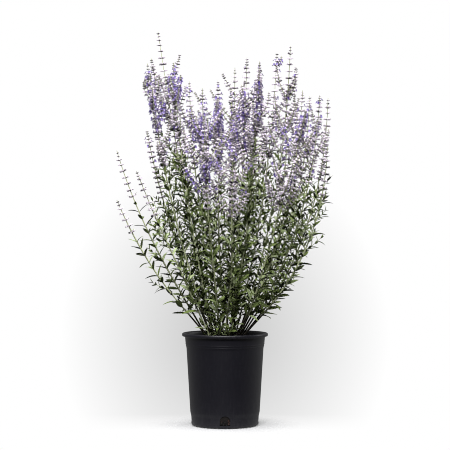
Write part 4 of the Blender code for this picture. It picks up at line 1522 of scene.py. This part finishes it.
def make_soil():
    """The turned body, with a rough top."""
    levels = [FLOOR + SOIL_GAP, 28 * MM, 60 * MM, 120 * MM, 190 * MM, SOIL_EDGE_Z]
    side = [(wall_radius(z) - WALL - SOIL_GAP, z) for z in levels]
    edge = side[-1][0]
    reaches = [edge * (1 - i / SOIL_RINGS) for i in range(1, SOIL_RINGS)]
    top = [(reach, soil_height(reach, edge)) for reach in reaches]
    bm = turned([(0, levels[0])] + side + top + [(0, SOIL_Z)], SOIL_SEGMENTS)
    for vert in bm.verts:
        if vert.co.z > SOIL_EDGE_Z - MM and math.hypot(*vert.co[:2]) < edge - MM:
            vert.co.z += LUMP * noise.fractal(vert.co * LUMPS, 0.6, 2.0, 4)
    for face in bm.faces:
        face.smooth = True
    return as_object("soil_body", bm)


soil_body = make_soil()
print("soil faces:", len(soil_body.data.polygons))

# %% [markdown]
# Shredded bark is splinters of all sizes, most of them small and lying nearly flat. Four boxes with
# their corners knocked about are enough, once each has its own turn, size and shade. Some more
# stand behind the wall in each drain hole, where the photo shows soil.

# %% Bark chips
CHIPS, HOLE_CHIPS, CHIP_SHAPES = 950, 16, 4
CHIP_LONG, HOLE_CHIP_LONG = (3 * MM, 11 * MM), (3, 6)
CHIP_WIDE, CHIP_THICK, CHIP_ROUGH = 0.45, 0.16, 0.07


def chip(name, seed):
    """A splinter of bark: a box of length 1 along Y whose corners are knocked about."""
    draw = random.Random(seed)
    bm = bmesh.new()
    bmesh.ops.create_cube(bm, size=1)
    long_edges = [e for e in bm.edges if abs((e.verts[0].co - e.verts[1].co).y) > 0.5]
    bmesh.ops.subdivide_edges(bm, edges=long_edges, cuts=1)
    for vert in bm.verts:
        vert.co = Vector((vert.co.x * CHIP_WIDE, vert.co.y, vert.co.z * CHIP_THICK))
        vert.co += Vector([draw.uniform(-CHIP_ROUGH, CHIP_ROUGH) for _ in range(3)])
    return bm_to_shape(name, bm)


def surface_chip(draw, edge):
    """A chip that lies on the soil."""
    reach, angle = math.sqrt(draw.random()) * (edge - 4 * MM), draw.uniform(0, math.tau)
    height = soil_height(reach, edge) + draw.uniform(0, 1.5) * MM
    turn = Quaternion((0, 0, 1), draw.uniform(0, math.tau)) @ Quaternion(
        (1, 0.4, 0), math.radians(draw.uniform(-25, 25)))
    size = CHIP_LONG[0] + (CHIP_LONG[1] - CHIP_LONG[0]) * draw.random() ** 2
    point = Vector((reach * math.cos(angle), reach * math.sin(angle), height))
    return point, turn, size, draw.randrange(CHIP_SHAPES), draw.random()


def hole_chip(draw, hole):
    """A chip that shows in a drain hole."""
    spin = Quaternion((0, 0, 1), math.tau * hole / DRAIN_HOLES)
    x, z = draw.uniform(-10, 10) * MM, draw.uniform(11, 27) * MM
    point = spin @ Vector((x, -(wall_radius(z) - WALL - MM), z))
    turn = spin @ Quaternion((0, 1, 0), draw.uniform(0, math.tau)) @ Quaternion(
        (1, 0, 0), math.pi / 2)
    size = draw.uniform(*HOLE_CHIP_LONG) * MM
    return point, turn, size, draw.randrange(CHIP_SHAPES), draw.random()


draw = random.Random(5)
edge = wall_radius(SOIL_EDGE_Z) - WALL
chip_places = [surface_chip(draw, edge) for _ in range(CHIPS)]
chip_places += [hole_chip(draw, hole) for hole in range(DRAIN_HOLES) for _ in range(HOLE_CHIPS)]
chip_shapes = shape_set("chip_shapes", [chip(f"chip_{i}", i) for i in range(CHIP_SHAPES)])
print("bark chips:", len(chip_places))

# %% [markdown]
# Damp composted bark is dark brown and quite matt, with crumbs that catch a little light.

# %% Composted bark
CRUMB = 2 * MM


def composted_bark():
    material, tree, shader = new_material("composted_bark", 0.92)
    tint = add_node(tree, "ShaderNodeAttribute", attribute_name="tint").outputs["Fac"]
    place = add_node(tree, "ShaderNodeTexCoord").outputs["Object"]
    crumb = add_node(tree, "ShaderNodeTexNoise", {
        "Vector": place, "Scale": 1 / CRUMB, "Detail": 5.0})
    tone = add_node(tree, "ShaderNodeMath", {0: crumb.outputs[0], 1: tint}, operation="MULTIPLY")
    ramp = add_node(tree, "ShaderNodeValToRGB", {"Fac": tone.outputs[0]})
    relief = add_node(tree, "ShaderNodeBump", {
        "Strength": 0.9, "Distance": MM, "Height": crumb.outputs[0]})
    connect(tree, shader, base_color=fill_stops(ramp, "#120c09", "#64382a"),
            normal=relief.outputs[0])
    return material


bark = composted_bark()
soil_body.data.materials.append(bark)
soil = join_pieces("potting_soil", [soil_body, grow_shapes(chip_places, chip_shapes, bark)])
finish_piece(soil, "soil", "soil")
print("soil piece:", len(soil.data.polygons), "faces")
